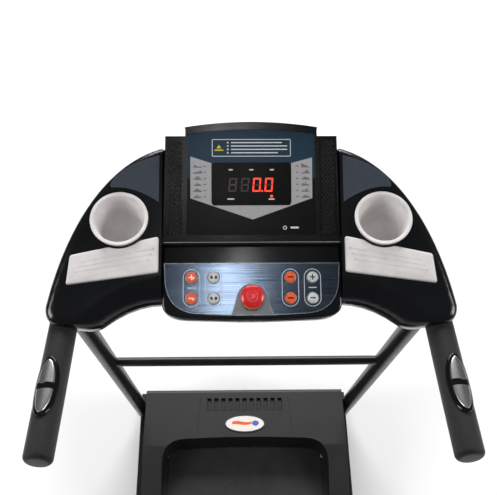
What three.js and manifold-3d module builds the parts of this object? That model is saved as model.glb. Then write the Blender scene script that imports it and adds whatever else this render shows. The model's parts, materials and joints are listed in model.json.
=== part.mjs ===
// A folding treadmill with a plastic console, two cup holders and a sprung stop button.
// Millimetres. +Z is up, +Y is forward, +X is the runner's right. The origin is on the floor,
// under the middle of the machine.
import * as THREE from "three";
import { mergeVertices } from "three/addons/utils/BufferGeometryUtils.js";
import Module from "manifold-3d";

const wasm = await Module();
wasm.setup();

// ---- Driving sizes ----------------------------------------------------------------------
const overallLength = 1400; // front of the transport wheels to the back of the end caps
const consoleToFront = 180; // from the console's reference line forward to the wheels' front
const panelZ = 1165; // height of the wings' top face on the console line
const beltWidth = 410;
const gap = 0.3; // between pieces that touch
const runFit = 0.4; // round a shaft, a pin or a button

const frontY = overallLength / 2;
const rearY = -overallLength / 2;
const consoleY = frontY - consoleToFront;

// Deck
const beltThickness = 2;
const rollerRadius = 25;
const rollerAxleZ = 125;
const rollerAxleRadius = 7;
const boardThickness = 18;
const railHeight = 50;
const railWidth = 35;
const railWall = 2.5;
const railBottomZ = 80;
const beltSideSpace = 20; // belt edge to rail, where the drive pulley runs
const stepThickness = 6;
const stepTopZ = 165;
const stepInnerLip = 8; // how far the step covers the side space
const endCapLength = 44;
const endCapWall = 3;
const beamHeight = 24;
const beamDepth = 40;

// Base frame
const baseRailWidth = 40;
const baseRailHeight = 40;
const baseRailWall = 2.5;
const padHeight = 8;
const padWidth = 30;
const padInset = 12; // the strips stop this far inside the rails' ends
const baseRearReach = 330; // the base rails end this far behind the console line
const wheelRadius = 30;
const wheelWidth = 24;
const wheelAxleRadius = 5;

// Fold
const hingeAhead = 105; // hinge line ahead of the console line
const hingeZ = 90;
const hingePinRadius = 6;
const bracketThickness = 5;
const strutBaseBehind = 150;
const strutBaseZ = 40;
const strutDeckBehind = 660;
const strutEyeRoom = 1; // between the deck's beam and the strut's eye under it
const strutPinRadius = 5;
const strutRodRadius = 5;
const strutTubeRadius = 11;
const strutEyeRadius = 11;
const strutEyeWidth = 14;

// Motor
const hoodTopZ = 240;
const hoodBottomZ = 130;
const hoodWall = 3;
const motorRadius = 42;
const motorLength = 150;
const motorAhead = 30; // motor axis ahead of the console line
const motorZ = 186;
const motorPulleyRadius = 18;
const rollerPulleyRadius = 36;
const pulleyWidth = 12;
const driveBeltThickness = 3;
const frontRollerBehind = 15; // front roller's axis behind the console line

// Uprights and handlebars
const tubeRadius = 19;
const tubeWall = 2;
const uprightSplayPerMetre = 42; // the uprights open out this much per metre of height
const uprightFootAhead = 118;
const uprightTopBehind = 50.65; // where the bend begins, behind the console line
const uprightTopUnder = 153; // and under the wings' top face
const crossbarUnder = 567;
const crossbarRadius = 10.5;
const foamThickness = 4.5;
const gripLength = 261;
const gripRise = 18.5;
const gripSplay = 11.5;
const gripStartBehind = 102;
const gripStartUnder = 96;
const handleInset = 16; // the bend brings the handlebar in by this much

// Console
const panelTiltDeg = 22;
const shellWall = 4;
const shellDepth = 34; // wing top face to the parting line
const coverDepth = 34; // parting line to the underside
const centreDrop = 18; // the middle of the console is this much lower than the wings
const centreHalfWidth = 152;
const displayTiltDeg = 30;
const displayFootBehind = 9;
const displayFootUnder = 14;
const displayHeight = 200;
const displayHalfWidth = 114;
const speakerTop = 176;
const buttonRadius = 10.5;
const stopRadius = 20;
const cupRimRadius = 49;
const cupWall = 3;
const cupDepth = 66;
const cupTiltDeg = 11;
const cupFromWingEdge = 123;
const cupAhead = 15;
const cupRimAbove = 14;
const wingPastHandle = 29; // the wings reach this far outside the handlebars' axes

const sides = { left: -1, right: 1 };
const deg = Math.PI / 180;

// ---- Solids -----------------------------------------------------------------------------
function solid(geometry) {
  const bare = geometry.index ? geometry.toNonIndexed() : geometry.clone();
  bare.deleteAttribute("normal");
  bare.deleteAttribute("uv");
  const merged = mergeVertices(bare, 1e-3);
  const vertProperties = Float32Array.from(merged.attributes.position.array);
  const triVerts = Uint32Array.from(merged.index.array);
  return new wasm.Manifold(new wasm.Mesh({ numProp: 3, vertProperties, triVerts }));
}

function geometryOf(body) {
  const mesh = body.getMesh();
  const geometry = new THREE.BufferGeometry();
  geometry.setAttribute("position", new THREE.BufferAttribute(mesh.vertProperties, 3));
  geometry.setIndex(new THREE.BufferAttribute(mesh.triVerts, 1));
  return geometry;
}

// The first solid without the others, or with them.
function cut(geometry, ...tools) {
  return geometryOf(tools.reduce((body, tool) => body.subtract(solid(tool)), solid(geometry)));
}

function join(geometry, ...others) {
  return geometryOf(others.reduce((body, other) => body.add(solid(other)), solid(geometry)));
}

function common(geometry, other) {
  return geometryOf(solid(geometry).intersect(solid(other)));
}

function box(x0, x1, y0, y1, z0, z1) {
  const geometry = new THREE.BoxGeometry(x1 - x0, y1 - y0, z1 - z0);
  return geometry.translate((x0 + x1) / 2, (y0 + y1) / 2, (z0 + z1) / 2);
}

// A cylinder along X from x0 to x1, round the line (y, z).
function rod(x0, x1, y, z, radius, segments = 20) {
  const geometry = new THREE.CylinderGeometry(radius, radius, Math.abs(x1 - x0), segments);
  return geometry.rotateZ(Math.PI / 2).translate((x0 + x1) / 2, y, z);
}

// An outline extruded up from z0 to z1.
function prism(shape, z0, z1, curveSegments = 8) {
  const settings = { depth: z1 - z0, bevelEnabled: false, curveSegments };
  return new THREE.ExtrudeGeometry(shape, settings).translate(0, 0, z0);
}

// An outline in (y, z) extruded along X from x0 to x1.
function sideways(shape, x0, x1, curveSegments = 8) {
  const settings = { depth: x1 - x0, bevelEnabled: false, curveSegments };
  const turn = new THREE.Matrix4().makeBasis(
    new THREE.Vector3(0, 1, 0),
    new THREE.Vector3(0, 0, 1),
    new THREE.Vector3(1, 0, 0),
  );
  return new THREE.ExtrudeGeometry(shape, settings).applyMatrix4(turn).translate(x0, 0, 0);
}

// An outline in (x, z) extruded along Y from y0 to y1.
function lengthways(shape, y0, y1) {
  const settings = { depth: y1 - y0, bevelEnabled: false, curveSegments: 4 };
  return new THREE.ExtrudeGeometry(shape, settings).rotateX(Math.PI / 2).translate(0, y1, 0);
}

function outline(points) {
  return new THREE.Shape(points.map(([x, y]) => new THREE.Vector2(x, y)));
}

function roundedRect(x0, x1, y0, y1, radius) {
  const shape = new THREE.Shape();
  shape.moveTo(x0 + radius, y0);
  shape.lineTo(x1 - radius, y0);
  shape.absarc(x1 - radius, y0 + radius, radius, -Math.PI / 2, 0);
  shape.lineTo(x1, y1 - radius);
  shape.absarc(x1 - radius, y1 - radius, radius, 0, Math.PI / 2);
  shape.lineTo(x0 + radius, y1);
  shape.absarc(x0 + radius, y1 - radius, radius, Math.PI / 2, Math.PI);
  shape.lineTo(x0, y0 + radius);
  shape.absarc(x0 + radius, y0 + radius, radius, Math.PI, 1.5 * Math.PI);
  return shape;
}

function circle(x, y, radius) {
  const shape = new THREE.Shape();
  shape.absarc(x, y, radius, 0, 2 * Math.PI);
  return shape;
}

// A round tube, or a bar where there is no bore, along a curve.
function tube(path, radius, bore, steps, segments = 8) {
  const section = circle(0, 0, radius);
  if (bore > 0) section.holes.push(circle(0, 0, bore));
  const settings = { extrudePath: path, steps, curveSegments: segments, bevelEnabled: false };
  return new THREE.ExtrudeGeometry(section, settings);
}

// A rectangular box section along Y, open at both ends.
function boxSection(x0, x1, y0, y1, z0, z1, wall) {
  const beyond = 1;
  const inside = box(x0 + wall, x1 - wall, y0 - beyond, y1 + beyond, z0 + wall, z1 - wall);
  return cut(box(x0, x1, y0, y1, z0, z1), inside);
}

// ---- The assembly -----------------------------------------------------------------------
const treadmill = new THREE.Group();

function paint(color, roughness, metalness = 0) {
  return () => new THREE.MeshStandardMaterial({ color, roughness, metalness });
}

const blackPaint = paint(0x15161a, 0.4, 0.3);
const blackPlastic = paint(0x0f1115, 0.35);
const whitePlastic = paint(0xdedad9, 0.45);
const foam = paint(0x17181b, 0.85);
const rubber = paint(0x1b1c1f, 0.9);
const steel = paint(0xa8abb0, 0.35, 1);
const greenBoard = paint(0x1d5b38, 0.6);
const navyFilm = paint(0x233544, 0.3);
const orangePlastic = paint(0xf15a24, 0.4);
const silverPlastic = paint(0xd0d0d0, 0.35, 0.2);
const redPlastic = paint(0xd8232a, 0.3);
const yellowPlastic = paint(0xe8c21a, 0.45);
const board = paint(0x5a4632, 0.7);

function add(group, name, geometry, material) {
  const mesh = new THREE.Mesh(geometry, material());
  mesh.name = name;
  group.add(mesh);
  return mesh;
}

// The mirror image of a right-hand piece, its faces still pointing out.
function mirrored(geometry, side) {
  if (side > 0) return geometry;
  const copy = geometry.index ? geometry.toNonIndexed() : geometry.clone();
  const position = copy.getAttribute("position");
  const flipped = new Float32Array(position.count * 3);
  for (let i = 0; i < position.count; i += 1) {
    const from = i % 3 === 0 ? i : i % 3 === 1 ? i + 1 : i - 1;
    flipped[3 * i] = -position.getX(from);
    flipped[3 * i + 1] = position.getY(from);
    flipped[3 * i + 2] = position.getZ(from);
  }
  const result = new THREE.BufferGeometry();
  result.setAttribute("position", new THREE.BufferAttribute(flipped, 3));
  return result;
}

// A right-hand piece and its mirror image, as two meshes.
function addPair(group, name, geometry, material) {
  for (const [word, side] of Object.entries(sides)) {
    add(group, `${name}_${word}`, mirrored(geometry, side), material);
  }
}

// ---- Deck layout ------------------------------------------------------------------------
const railInner = beltWidth / 2 + beltSideSpace;
const railOuter = railInner + railWidth;
const railTopZ = railBottomZ + railHeight;
const hingeY = consoleY + hingeAhead;
const railFrontY = hingeY + 22;
const railRearY = rearY + endCapLength + gap;
const frontRollerY = consoleY - frontRollerBehind;
const rearRollerY = railRearY + rollerRadius + beltThickness + 2;
const boardTopZ = rollerAxleZ + rollerRadius;
const boardBottomZ = boardTopZ - boardThickness;

// Deck side rails, with the hinge pin's and the rollers' holes.
const deckRail = cut(
  boxSection(railInner, railOuter, railRearY, railFrontY, railBottomZ, railTopZ, railWall),
  rod(railInner - 1, railOuter + 1, hingeY, hingeZ, hingePinRadius + runFit),
  rod(railInner - 1, railInner + railWall + 1, frontRollerY, rollerAxleZ, rollerAxleRadius + runFit),
  rod(railInner - 1, railInner + railWall + 1, rearRollerY, rollerAxleZ, rollerAxleRadius + runFit),
  box(railInner - 1, railInner + railWall + 1, frontRollerY - rollerAxleRadius - runFit,
    frontRollerY + rollerAxleRadius + runFit, rollerAxleZ, railTopZ + 1),
  box(railInner - 1, railInner + railWall + 1, rearRollerY - rollerAxleRadius - runFit,
    rearRollerY + rollerAxleRadius + runFit, rollerAxleZ, railTopZ + 1),
);
addPair(treadmill, "deck_rail", deckRail, blackPaint);

// A cross beam between the rails, under the board and inside the belt's loop.
const beamInset = 90;
const beamY = rearRollerY + beamInset;
const beamTop = boardBottomZ - gap;
add(treadmill, "deck_rear_beam", box(gap - railInner, railInner - gap, beamY - beamDepth / 2,
  beamY + beamDepth / 2, beamTop - beamHeight, beamTop), blackPaint);

// The strut pulls on this beam, which passes under the belt's lower run.
const lowerRunZ = rollerAxleZ - rollerRadius - beltThickness;
const strutDeckY = consoleY - strutDeckBehind;
const strutBeamTop = lowerRunZ - 4;
const strutBeamHeight = 20;
const strutDeckZ = strutBeamTop - strutBeamHeight - strutEyeRadius - strutEyeRoom;
const strutBeamHalf = 20;
const strutBeam = box(gap - railInner, railInner - gap, strutDeckY - strutBeamHalf,
  strutDeckY + strutBeamHalf, strutBeamTop - strutBeamHeight, strutBeamTop);
const lugGap = strutEyeWidth / 2 + 1;
const lugThickness = 4;
const lugHalf = 13;
function strutLug(side, y, z0, z1) {
  const x0 = side > 0 ? lugGap : -lugGap - lugThickness;
  return box(x0, x0 + lugThickness, y - lugHalf, y + lugHalf, z0, z1);
}
const deckLugBottom = strutDeckZ - strutEyeRadius - 1;
const pinReach = lugGap + lugThickness + 3;
function strutPin(y, z) {
  return rod(-pinReach, pinReach, y, z, strutPinRadius);
}
add(treadmill, "strut_beam", join(
  strutBeam,
  strutLug(1, strutDeckY, deckLugBottom, strutBeamTop - 1),
  strutLug(-1, strutDeckY, deckLugBottom, strutBeamTop - 1),
), blackPaint);

// Running board and belt.
const boardFrontY = frontRollerY - rollerPulleyRadius - driveBeltThickness - 4;
const boardRearY = rearRollerY + rollerRadius + 6;
add(treadmill, "running_board", box(-railInner + 1, railInner - 1, boardRearY, boardFrontY,
  boardBottomZ, boardTopZ - gap), board);

function loopOutline(y0, z0, r0, y1, z1, r1, segments) {
  // Round two pulleys, y0 ahead of y1: two arcs joined by the belt's straight runs.
  const span = Math.hypot(y1 - y0, z1 - z0);
  const along = Math.atan2(z1 - z0, y1 - y0);
  const lean = Math.acos((r0 - r1) / span);
  const shape = [];
  for (let i = 0; i <= segments; i += 1) {
    const a = along + lean + (2 * Math.PI - 2 * lean) * (i / segments);
    shape.push([y0 + r0 * Math.cos(a), z0 + r0 * Math.sin(a)]);
  }
  for (let i = 0; i <= segments; i += 1) {
    const a = along - lean + 2 * lean * (i / segments);
    shape.push([y1 + r1 * Math.cos(a), z1 + r1 * Math.sin(a)]);
  }
  return outline(shape);
}
const beltInner = rollerRadius + gap;
const beltOuter = rollerRadius + beltThickness;
const beltLoop = loopOutline(frontRollerY, rollerAxleZ, beltOuter, rearRollerY, rollerAxleZ,
  beltOuter, 12);
beltLoop.holes.push(loopOutline(frontRollerY, rollerAxleZ, beltInner, rearRollerY, rollerAxleZ,
  beltInner, 12));
add(treadmill, "running_belt", sideways(beltLoop, -beltWidth / 2, beltWidth / 2), rubber);

// Rollers. Each turns on its axle's ends, which lie in the rails' slots.
const rollerEnd = beltWidth / 2 + 2;
const axleEnd = railInner + railWall - 0.5;
const pulleyX0 = rollerEnd + 2;
const frontRoller = join(
  rod(-rollerEnd, rollerEnd, frontRollerY, rollerAxleZ, rollerRadius, 28),
  rod(-axleEnd, axleEnd, frontRollerY, rollerAxleZ, rollerAxleRadius),
  rod(-pulleyX0 - pulleyWidth, -rollerEnd + 1, frontRollerY, rollerAxleZ, rollerPulleyRadius, 28),
);
add(treadmill, "front_roller", frontRoller, steel);
add(treadmill, "rear_roller", join(
  rod(-rollerEnd, rollerEnd, rearRollerY, rollerAxleZ, rollerRadius, 28),
  rod(-axleEnd, axleEnd, rearRollerY, rollerAxleZ, rollerAxleRadius),
), steel);

// Side steps: a channel over each rail, with a skirt outside it.
const skirtInner = railOuter + 6.8;
const skirtOuter = skirtInner + 3.4;
const stepInner = railInner - stepInnerLip - 4;
const skirtBottomZ = 98;
const legInner = railInner + 4;
const legThickness = 3;
const stepUnder = stepTopZ - stepThickness;
const stepSection = outline([
  [stepInner, stepUnder],
  [stepInner + 1, stepTopZ - 1.5],
  [stepInner + 6, stepTopZ],
  [skirtOuter - 6, stepTopZ],
  [skirtOuter - 1.5, stepTopZ - 2],
  [skirtOuter, stepTopZ - 8],
  [skirtOuter, skirtBottomZ],
  [skirtInner, skirtBottomZ],
  [skirtInner, stepUnder],
  [legInner + legThickness, stepUnder],
  [legInner + legThickness, railTopZ + gap],
  [legInner, railTopZ + gap],
  [legInner, stepUnder],
].reverse());
const hoodArmReach = 235; // the hood's arms end this far behind the console line
const stepFrontY = consoleY - hoodArmReach - gap;
addPair(treadmill, "side_step", lengthways(stepSection, railRearY, stepFrontY), blackPlastic);

// End caps close the rails, and the rear feet carry the deck.
const capInner = stepInner;
const capShape = roundedRect(capInner, skirtOuter + 1, railBottomZ - 2, stepTopZ + 2, 10);
const capHollow = roundedRect(capInner + endCapWall, skirtOuter + 1 - endCapWall,
  railBottomZ - 2 + endCapWall, stepTopZ + 2 - endCapWall, 8);
const capRoller = rod(capInner - 1, railInner - gap, rearRollerY, rollerAxleZ, beltOuter + 3, 24);
addPair(treadmill, "end_cap", cut(
  lengthways(capShape, rearY, railRearY - gap),
  lengthways(capHollow, rearY + endCapWall, railRearY),
  capRoller,
), blackPlastic);
const rearFootRadius = 17;
const rearFootInset = 45;
const rearFoot = new THREE.CylinderGeometry(rearFootRadius - 4, rearFootRadius,
  railBottomZ - gap, 18).rotateX(Math.PI / 2);
rearFoot.translate((railInner + railOuter) / 2, railRearY + rearFootInset,
  (railBottomZ - gap) / 2);
addPair(treadmill, "rear_foot", rearFoot, rubber);

// ---- Base frame -------------------------------------------------------------------------
// Each base rail carries a hinge bracket with its pin, and the stud of a transport wheel.
const baseInner = railOuter;
const baseOuter = baseInner + baseRailWidth;
const baseTopZ = padHeight + baseRailHeight;
const baseRearY = consoleY - baseRearReach;
const baseFrontY = frontY - 6;
const wheelY = frontY - wheelRadius;
const wheelZ = wheelRadius + 2;
const wheelX1 = baseInner - 3;
const wheelX0 = wheelX1 - wheelWidth;
const bracketX0 = railOuter + 1;
const bracketTop = hingeZ + 20;
const bracketShape = outline([
  [hingeY - 30, baseTopZ - 1],
  [hingeY + 30, baseTopZ - 1],
  [hingeY + 16, bracketTop - 6],
  [hingeY + 8, bracketTop],
  [hingeY - 8, bracketTop],
  [hingeY - 16, bracketTop - 6],
]);
const baseRail = join(
  boxSection(baseInner, baseOuter, baseRearY, baseFrontY, padHeight, baseTopZ, baseRailWall),
  sideways(bracketShape, bracketX0, bracketX0 + bracketThickness),
  rod(railInner + railWall + 1, bracketX0 + 1, hingeY, hingeZ, hingePinRadius),
  rod(wheelX0 - 3, baseInner + 1, wheelY, wheelZ, wheelAxleRadius),
);
addPair(treadmill, "base_rail", baseRail, blackPaint);

const padX0 = (baseInner + baseOuter - padWidth) / 2;
addPair(treadmill, "foot_strip", box(padX0, padX0 + padWidth, baseRearY + padInset,
  wheelY - padInset, 0, padHeight - gap), rubber);

const baseBeamDepth = 40;
const frontBeamY = consoleY + 80;
const rearBeamY = consoleY - strutBaseBehind + lugHalf + baseBeamDepth / 2 + 12;
const beamReach = baseInner - gap;
function baseBeam(y) {
  return box(-beamReach, beamReach, y - baseBeamDepth / 2, y + baseBeamDepth / 2, padHeight,
    baseTopZ);
}
const inletX = -120;
const switchX = -70;
const socketDepth = 12;
const frontBeamFace = frontBeamY + baseBeamDepth / 2;
const socketZ = (padHeight + baseTopZ) / 2;
const inletHalfWidth = 15;
const inletHalfHeight = 11;
const switchRadius = 8;
const switchHalfWidth = 9;
add(treadmill, "base_front_beam", cut(
  baseBeam(frontBeamY),
  box(inletX - inletHalfWidth, inletX + inletHalfWidth, frontBeamFace - socketDepth,
    frontBeamFace + 1, socketZ - inletHalfHeight, socketZ + inletHalfHeight),
  box(switchX - switchHalfWidth - 1, switchX + switchHalfWidth + 1,
    frontBeamFace - socketDepth, frontBeamFace + 1, socketZ - switchRadius - 3,
    socketZ + switchRadius + 3),
), blackPaint);
const socketInset = gap + 0.2;
add(treadmill, "power_inlet", cut(
  box(inletX - inletHalfWidth + socketInset, inletX + inletHalfWidth - socketInset,
    frontBeamFace - socketDepth + socketInset, frontBeamFace + 1.5,
    socketZ - inletHalfHeight + socketInset, socketZ + inletHalfHeight - socketInset),
  box(inletX - inletHalfWidth + 3, inletX + inletHalfWidth - 3,
    frontBeamFace - socketDepth + 4, frontBeamFace + 2,
    socketZ - inletHalfHeight + 3, socketZ + inletHalfHeight - 3),
), blackPlastic);
const rocker = common(
  rod(switchX - switchHalfWidth, switchX + switchHalfWidth, frontBeamFace - 3, socketZ,
    switchRadius),
  box(switchX - switchHalfWidth - 1, switchX + switchHalfWidth + 1, frontBeamFace - 6,
    frontBeamFace + 3, socketZ - switchRadius - 1, socketZ + switchRadius + 1),
);
add(treadmill, "power_switch", rocker, redPlastic);

const baseLugY = consoleY - strutBaseBehind;
const baseLugReach = rearBeamY - baseBeamDepth / 2 + 1;
function baseLug(side) {
  const x0 = side > 0 ? lugGap : -lugGap - lugThickness;
  return box(x0, x0 + lugThickness, baseLugY - lugHalf, baseLugReach, strutBaseZ - lugHalf,
    baseTopZ);
}
add(treadmill, "base_rear_beam", join(
  baseBeam(rearBeamY),
  baseLug(1),
  baseLug(-1),
  strutPin(baseLugY, strutBaseZ),
), blackPaint);

// Transport wheels, on studs from the base rails.
const tread = wheelRadius - 3;
const wheelProfile = [
  [wheelAxleRadius + runFit, 0],
  [tread, 0],
  [wheelRadius, 4],
  [wheelRadius, wheelWidth - 4],
  [tread, wheelWidth],
  [wheelAxleRadius + runFit, wheelWidth],
  [wheelAxleRadius + runFit, 0],
].map(([x, y]) => new THREE.Vector2(x, y));
const wheel = new THREE.LatheGeometry(wheelProfile, 28).rotateZ(-Math.PI / 2);
addPair(treadmill, "wheel", wheel.translate(wheelX0, wheelY, wheelZ), rubber);

// ---- Fold strut: a gas spring, lying back under the deck at rest ----------------------------
const strutLength = Math.hypot(strutDeckY - baseLugY, strutDeckZ - strutBaseZ);
const strutLean = Math.atan2(strutDeckZ - strutBaseZ, baseLugY - strutDeckY);
const strut = new THREE.Group();
strut.position.set(0, baseLugY, strutBaseZ);
strut.rotation.x = -strutLean;
treadmill.add(strut);
const strutTubeEnd = 355;
const strutBoreStart = 50;
function strutLathe(points) {
  const profile = points.map(([x, y]) => new THREE.Vector2(x, -y)).reverse();
  return new THREE.LatheGeometry(profile, 16);
}
const boreRadius = strutRodRadius + runFit;
const strutNeckRadius = 6;
const strutTube = strutLathe([
  [0, strutEyeRadius - 3],
  [strutNeckRadius, strutEyeRadius - 3],
  [strutNeckRadius, lugHalf + 2],
  [strutTubeRadius, lugHalf + 4],
  [strutTubeRadius, strutTubeEnd],
  [boreRadius, strutTubeEnd],
  [boreRadius, strutBoreStart],
  [0, strutBoreStart],
]);
function strutEye(y) {
  return rod(-strutEyeWidth / 2, strutEyeWidth / 2, y, 0, strutEyeRadius);
}
function strutEyeHole(y) {
  return rod(-strutEyeWidth, strutEyeWidth, y, 0, strutPinRadius + runFit);
}
add(strut, "strut_cylinder", cut(join(strutTube, strutEye(0)), strutEyeHole(0)), blackPaint);
const rodStart = strutBoreStart + 10;
const strutRod = strutLathe([
  [0, rodStart],
  [strutRodRadius, rodStart],
  [strutRodRadius, strutLength - strutEyeRadius + 3],
  [0, strutLength - strutEyeRadius + 3],
]);
add(strut, "strut_rod", cut(join(strutRod, strutEye(-strutLength)), strutEyeHole(-strutLength)),
  steel);

// ---- Motor and its cover -------------------------------------------------------------------
const motorY = consoleY + motorAhead;
const motorX0 = -railInner + 40;
const motorX1 = motorX0 + motorLength;
const shaftRadius = 7;
add(treadmill, "motor", cut(
  rod(motorX0, motorX1, motorY, motorZ, motorRadius, 24),
  rod(motorX0 - 1, motorX0 + 30, motorY, motorZ, shaftRadius + runFit),
), blackPaint);
add(treadmill, "motor_pulley", join(
  rod(-pulleyX0 - pulleyWidth, motorX0 + 29, motorY, motorZ, shaftRadius),
  rod(-pulleyX0 - pulleyWidth, -pulleyX0, motorY, motorZ, motorPulleyRadius, 20),
), steel);
const driveOuter = loopOutline(motorY, motorZ, motorPulleyRadius + driveBeltThickness,
  frontRollerY, rollerAxleZ, rollerPulleyRadius + driveBeltThickness, 10);
driveOuter.holes.push(loopOutline(motorY, motorZ, motorPulleyRadius + gap * 2, frontRollerY,
  rollerAxleZ, rollerPulleyRadius + gap * 2, 10));
add(treadmill, "drive_belt", sideways(driveOuter, -pulleyX0 - pulleyWidth + 1, -pulleyX0 - 1),
  rubber);
const plateTop = motorZ - motorRadius - gap;
const motorPlate = box(gap - railInner, railInner - gap, motorY - 10, motorY + 50,
  plateTop - 5, plateTop);
add(treadmill, "motor_plate", cut(
  motorPlate,
  box(-railInner, -pulleyX0 + 4, motorY - 11, motorY + 24, plateTop - 6, plateTop + 1),
), blackPaint);
const controllerX0 = motorX1 + 40;
const controllerLength = 130;
const finPitch = 13;
const controllerY0 = motorY - 8;
const controllerY1 = motorY + 45;
let controller = box(controllerX0, controllerX0 + controllerLength, controllerY0, controllerY1,
  plateTop + gap, plateTop + 30);
for (let x = controllerX0; x < controllerX0 + controllerLength; x += finPitch) {
  controller = join(controller, box(x, x + 3, controllerY0, controllerY1, plateTop + 29,
    plateTop + 50));
}
add(treadmill, "motor_controller", controller, steel);

const hoodHalfWidth = railOuter + 10;
const hoodFrontHalf = railOuter + 5;
const hoodFrontY = consoleY + 141;
const hoodEdgeY = consoleY + 98; // where the top turns down to the front
const armWidth = 52;
const cutoutY = consoleY - 30;
const armRearY = consoleY - hoodArmReach;
const armEndZ = 176;
function hoodPlan(inset) {
  const half = hoodHalfWidth - inset;
  const frontHalf = hoodFrontHalf - inset;
  const innerX = hoodHalfWidth - armWidth + inset;
  const rear = armRearY + inset;
  const back = cutoutY + inset;
  const front = hoodFrontY - inset;
  const corner = 22;
  const shape = new THREE.Shape();
  shape.moveTo(-half, rear);
  shape.lineTo(-innerX, rear);
  shape.lineTo(-innerX, back - 60);
  shape.quadraticCurveTo(-innerX + 4, back - 6, -innerX + 62, back - 4);
  shape.quadraticCurveTo(0, back + 4, innerX - 62, back - 4);
  shape.quadraticCurveTo(innerX - 4, back - 6, innerX, back - 60);
  shape.lineTo(innerX, rear);
  shape.lineTo(half, rear);
  shape.lineTo(frontHalf, front - corner);
  shape.quadraticCurveTo(frontHalf, front, frontHalf - corner, front);
  shape.lineTo(corner - frontHalf, front);
  shape.quadraticCurveTo(-frontHalf, front, -frontHalf, front - corner);
  return shape;
}
function hoodSide(inset) {
  const top = hoodTopZ - inset;
  const bottom = inset > 0 ? hoodBottomZ - 5 : hoodBottomZ;
  const shape = new THREE.Shape();
  shape.moveTo(armRearY - 5, bottom);
  shape.lineTo(hoodFrontY + 1, bottom);
  shape.lineTo(hoodFrontY + 1 - inset, hoodBottomZ + 12);
  shape.lineTo(hoodEdgeY + 6 - inset, top - 5);
  shape.quadraticCurveTo(hoodEdgeY + 3 - inset, top, hoodEdgeY - 4 - inset, top);
  shape.lineTo(cutoutY - 20, top);
  shape.lineTo(armRearY + 60, armEndZ + 16 - inset);
  shape.lineTo(armRearY - 5, armEndZ - inset);
  return shape;
}
const across = hoodHalfWidth + 5;
const hoodOuter = common(prism(hoodPlan(0), hoodBottomZ - 2, hoodTopZ + 2, 6),
  sideways(hoodSide(0), -across, across, 4));
const hoodInner = common(prism(hoodPlan(hoodWall), hoodBottomZ - 9, hoodTopZ + 2, 6),
  sideways(hoodSide(hoodWall), -across, across, 4));
const ventCount = 11;
const ventPitch = 19;
const ventHalf = 5.5;
const ventLength = 32;
const ventInset = 20; // from the hood's front edge
const vents = [];
for (let i = 0; i < ventCount; i += 1) {
  const x = (i - (ventCount - 1) / 2) * ventPitch;
  vents.push(box(x - ventHalf, x + ventHalf, hoodEdgeY - ventInset - ventLength,
    hoodEdgeY - ventInset, hoodTopZ - hoodWall - 3, hoodTopZ + 3));
}
// The belt and the board run out under the cover's back edge.
const beltPassage = box(gap - railInner, railInner - gap, armRearY - 1, frontRollerY + 40,
  hoodBottomZ - 9, boardTopZ + beltThickness + 10);
add(treadmill, "motor_hood", cut(hoodOuter, hoodInner, beltPassage, ...vents), blackPlastic);

// ---- Uprights, crossbar and handlebars ---------------------------------------------------------
const uprightFootX = railOuter + 30;
const uprightFootZ = baseTopZ + gap;
const uprightTopZ = panelZ - uprightTopUnder;
const uprightLean = (uprightFootAhead + uprightTopBehind) / (uprightTopZ - uprightFootZ);
function uprightAt(z) {
  const rise = z - uprightFootZ;
  const x = uprightFootX + rise * uprightSplayPerMetre / 1000;
  const y = consoleY + uprightFootAhead - rise * uprightLean;
  return new THREE.Vector3(x, y, z);
}
const uprightLine = new THREE.LineCurve3(uprightAt(uprightFootZ - 30), uprightAt(uprightTopZ));
const floorCut = box(uprightFootX - 60, uprightFootX + 60, consoleY, consoleY + 300, -50,
  uprightFootZ);
const crossAt = uprightAt(panelZ - crossbarUnder);
const crossReach = crossAt.x + 2;
const crossbarRaw = rod(-crossReach, crossReach, crossAt.y, crossAt.z, crossbarRadius, 16);
const uprightCutter = tube(uprightLine, tubeRadius + gap, 0, 1);
add(treadmill, "crossbar", cut(crossbarRaw, uprightCutter, mirrored(uprightCutter, -1)),
  blackPaint);

const gripStartZ = panelZ - gripStartUnder;
const gripStart = new THREE.Vector3(uprightAt(gripStartZ).x - handleInset, consoleY - gripStartBehind,
  gripStartZ);
const gripRadius = tubeRadius + foamThickness;
const gripDirection = new THREE.Vector3(gripSplay, -gripLength, gripRise).normalize();
const gripEnd = gripStart.clone().addScaledVector(gripDirection, gripLength);
const bendFoot = uprightAt(uprightTopZ);
const bendCorner = uprightAt(gripStartZ - 6);
function barPathTo(end) {
  const path = new THREE.CurvePath();
  path.add(new THREE.QuadraticBezierCurve3(bendFoot, bendCorner, gripStart));
  path.add(new THREE.LineCurve3(gripStart, end));
  return path;
}
const barPath = barPathTo(gripEnd);
const barSteps = 13;
// The straight post, the bend and the handle are one tube, bored right through.
const boreEnd = gripEnd.clone().addScaledVector(gripDirection, 2);
const bore = tubeRadius - tubeWall;
const tubeSolid = join(tube(uprightLine, tubeRadius, 0, 1), tube(barPath, tubeRadius, 0, barSteps));
const tubeBore = join(tube(uprightLine, bore, 0, 1), tube(barPathTo(boreEnd), bore, 0, barSteps));
const sliver = 0.02; // points this close are one
const bentTube = solid(cut(tubeSolid, tubeBore, floorCut)).simplify(sliver);
addPair(treadmill, "upright", geometryOf(bentTube), blackPaint);

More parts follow.
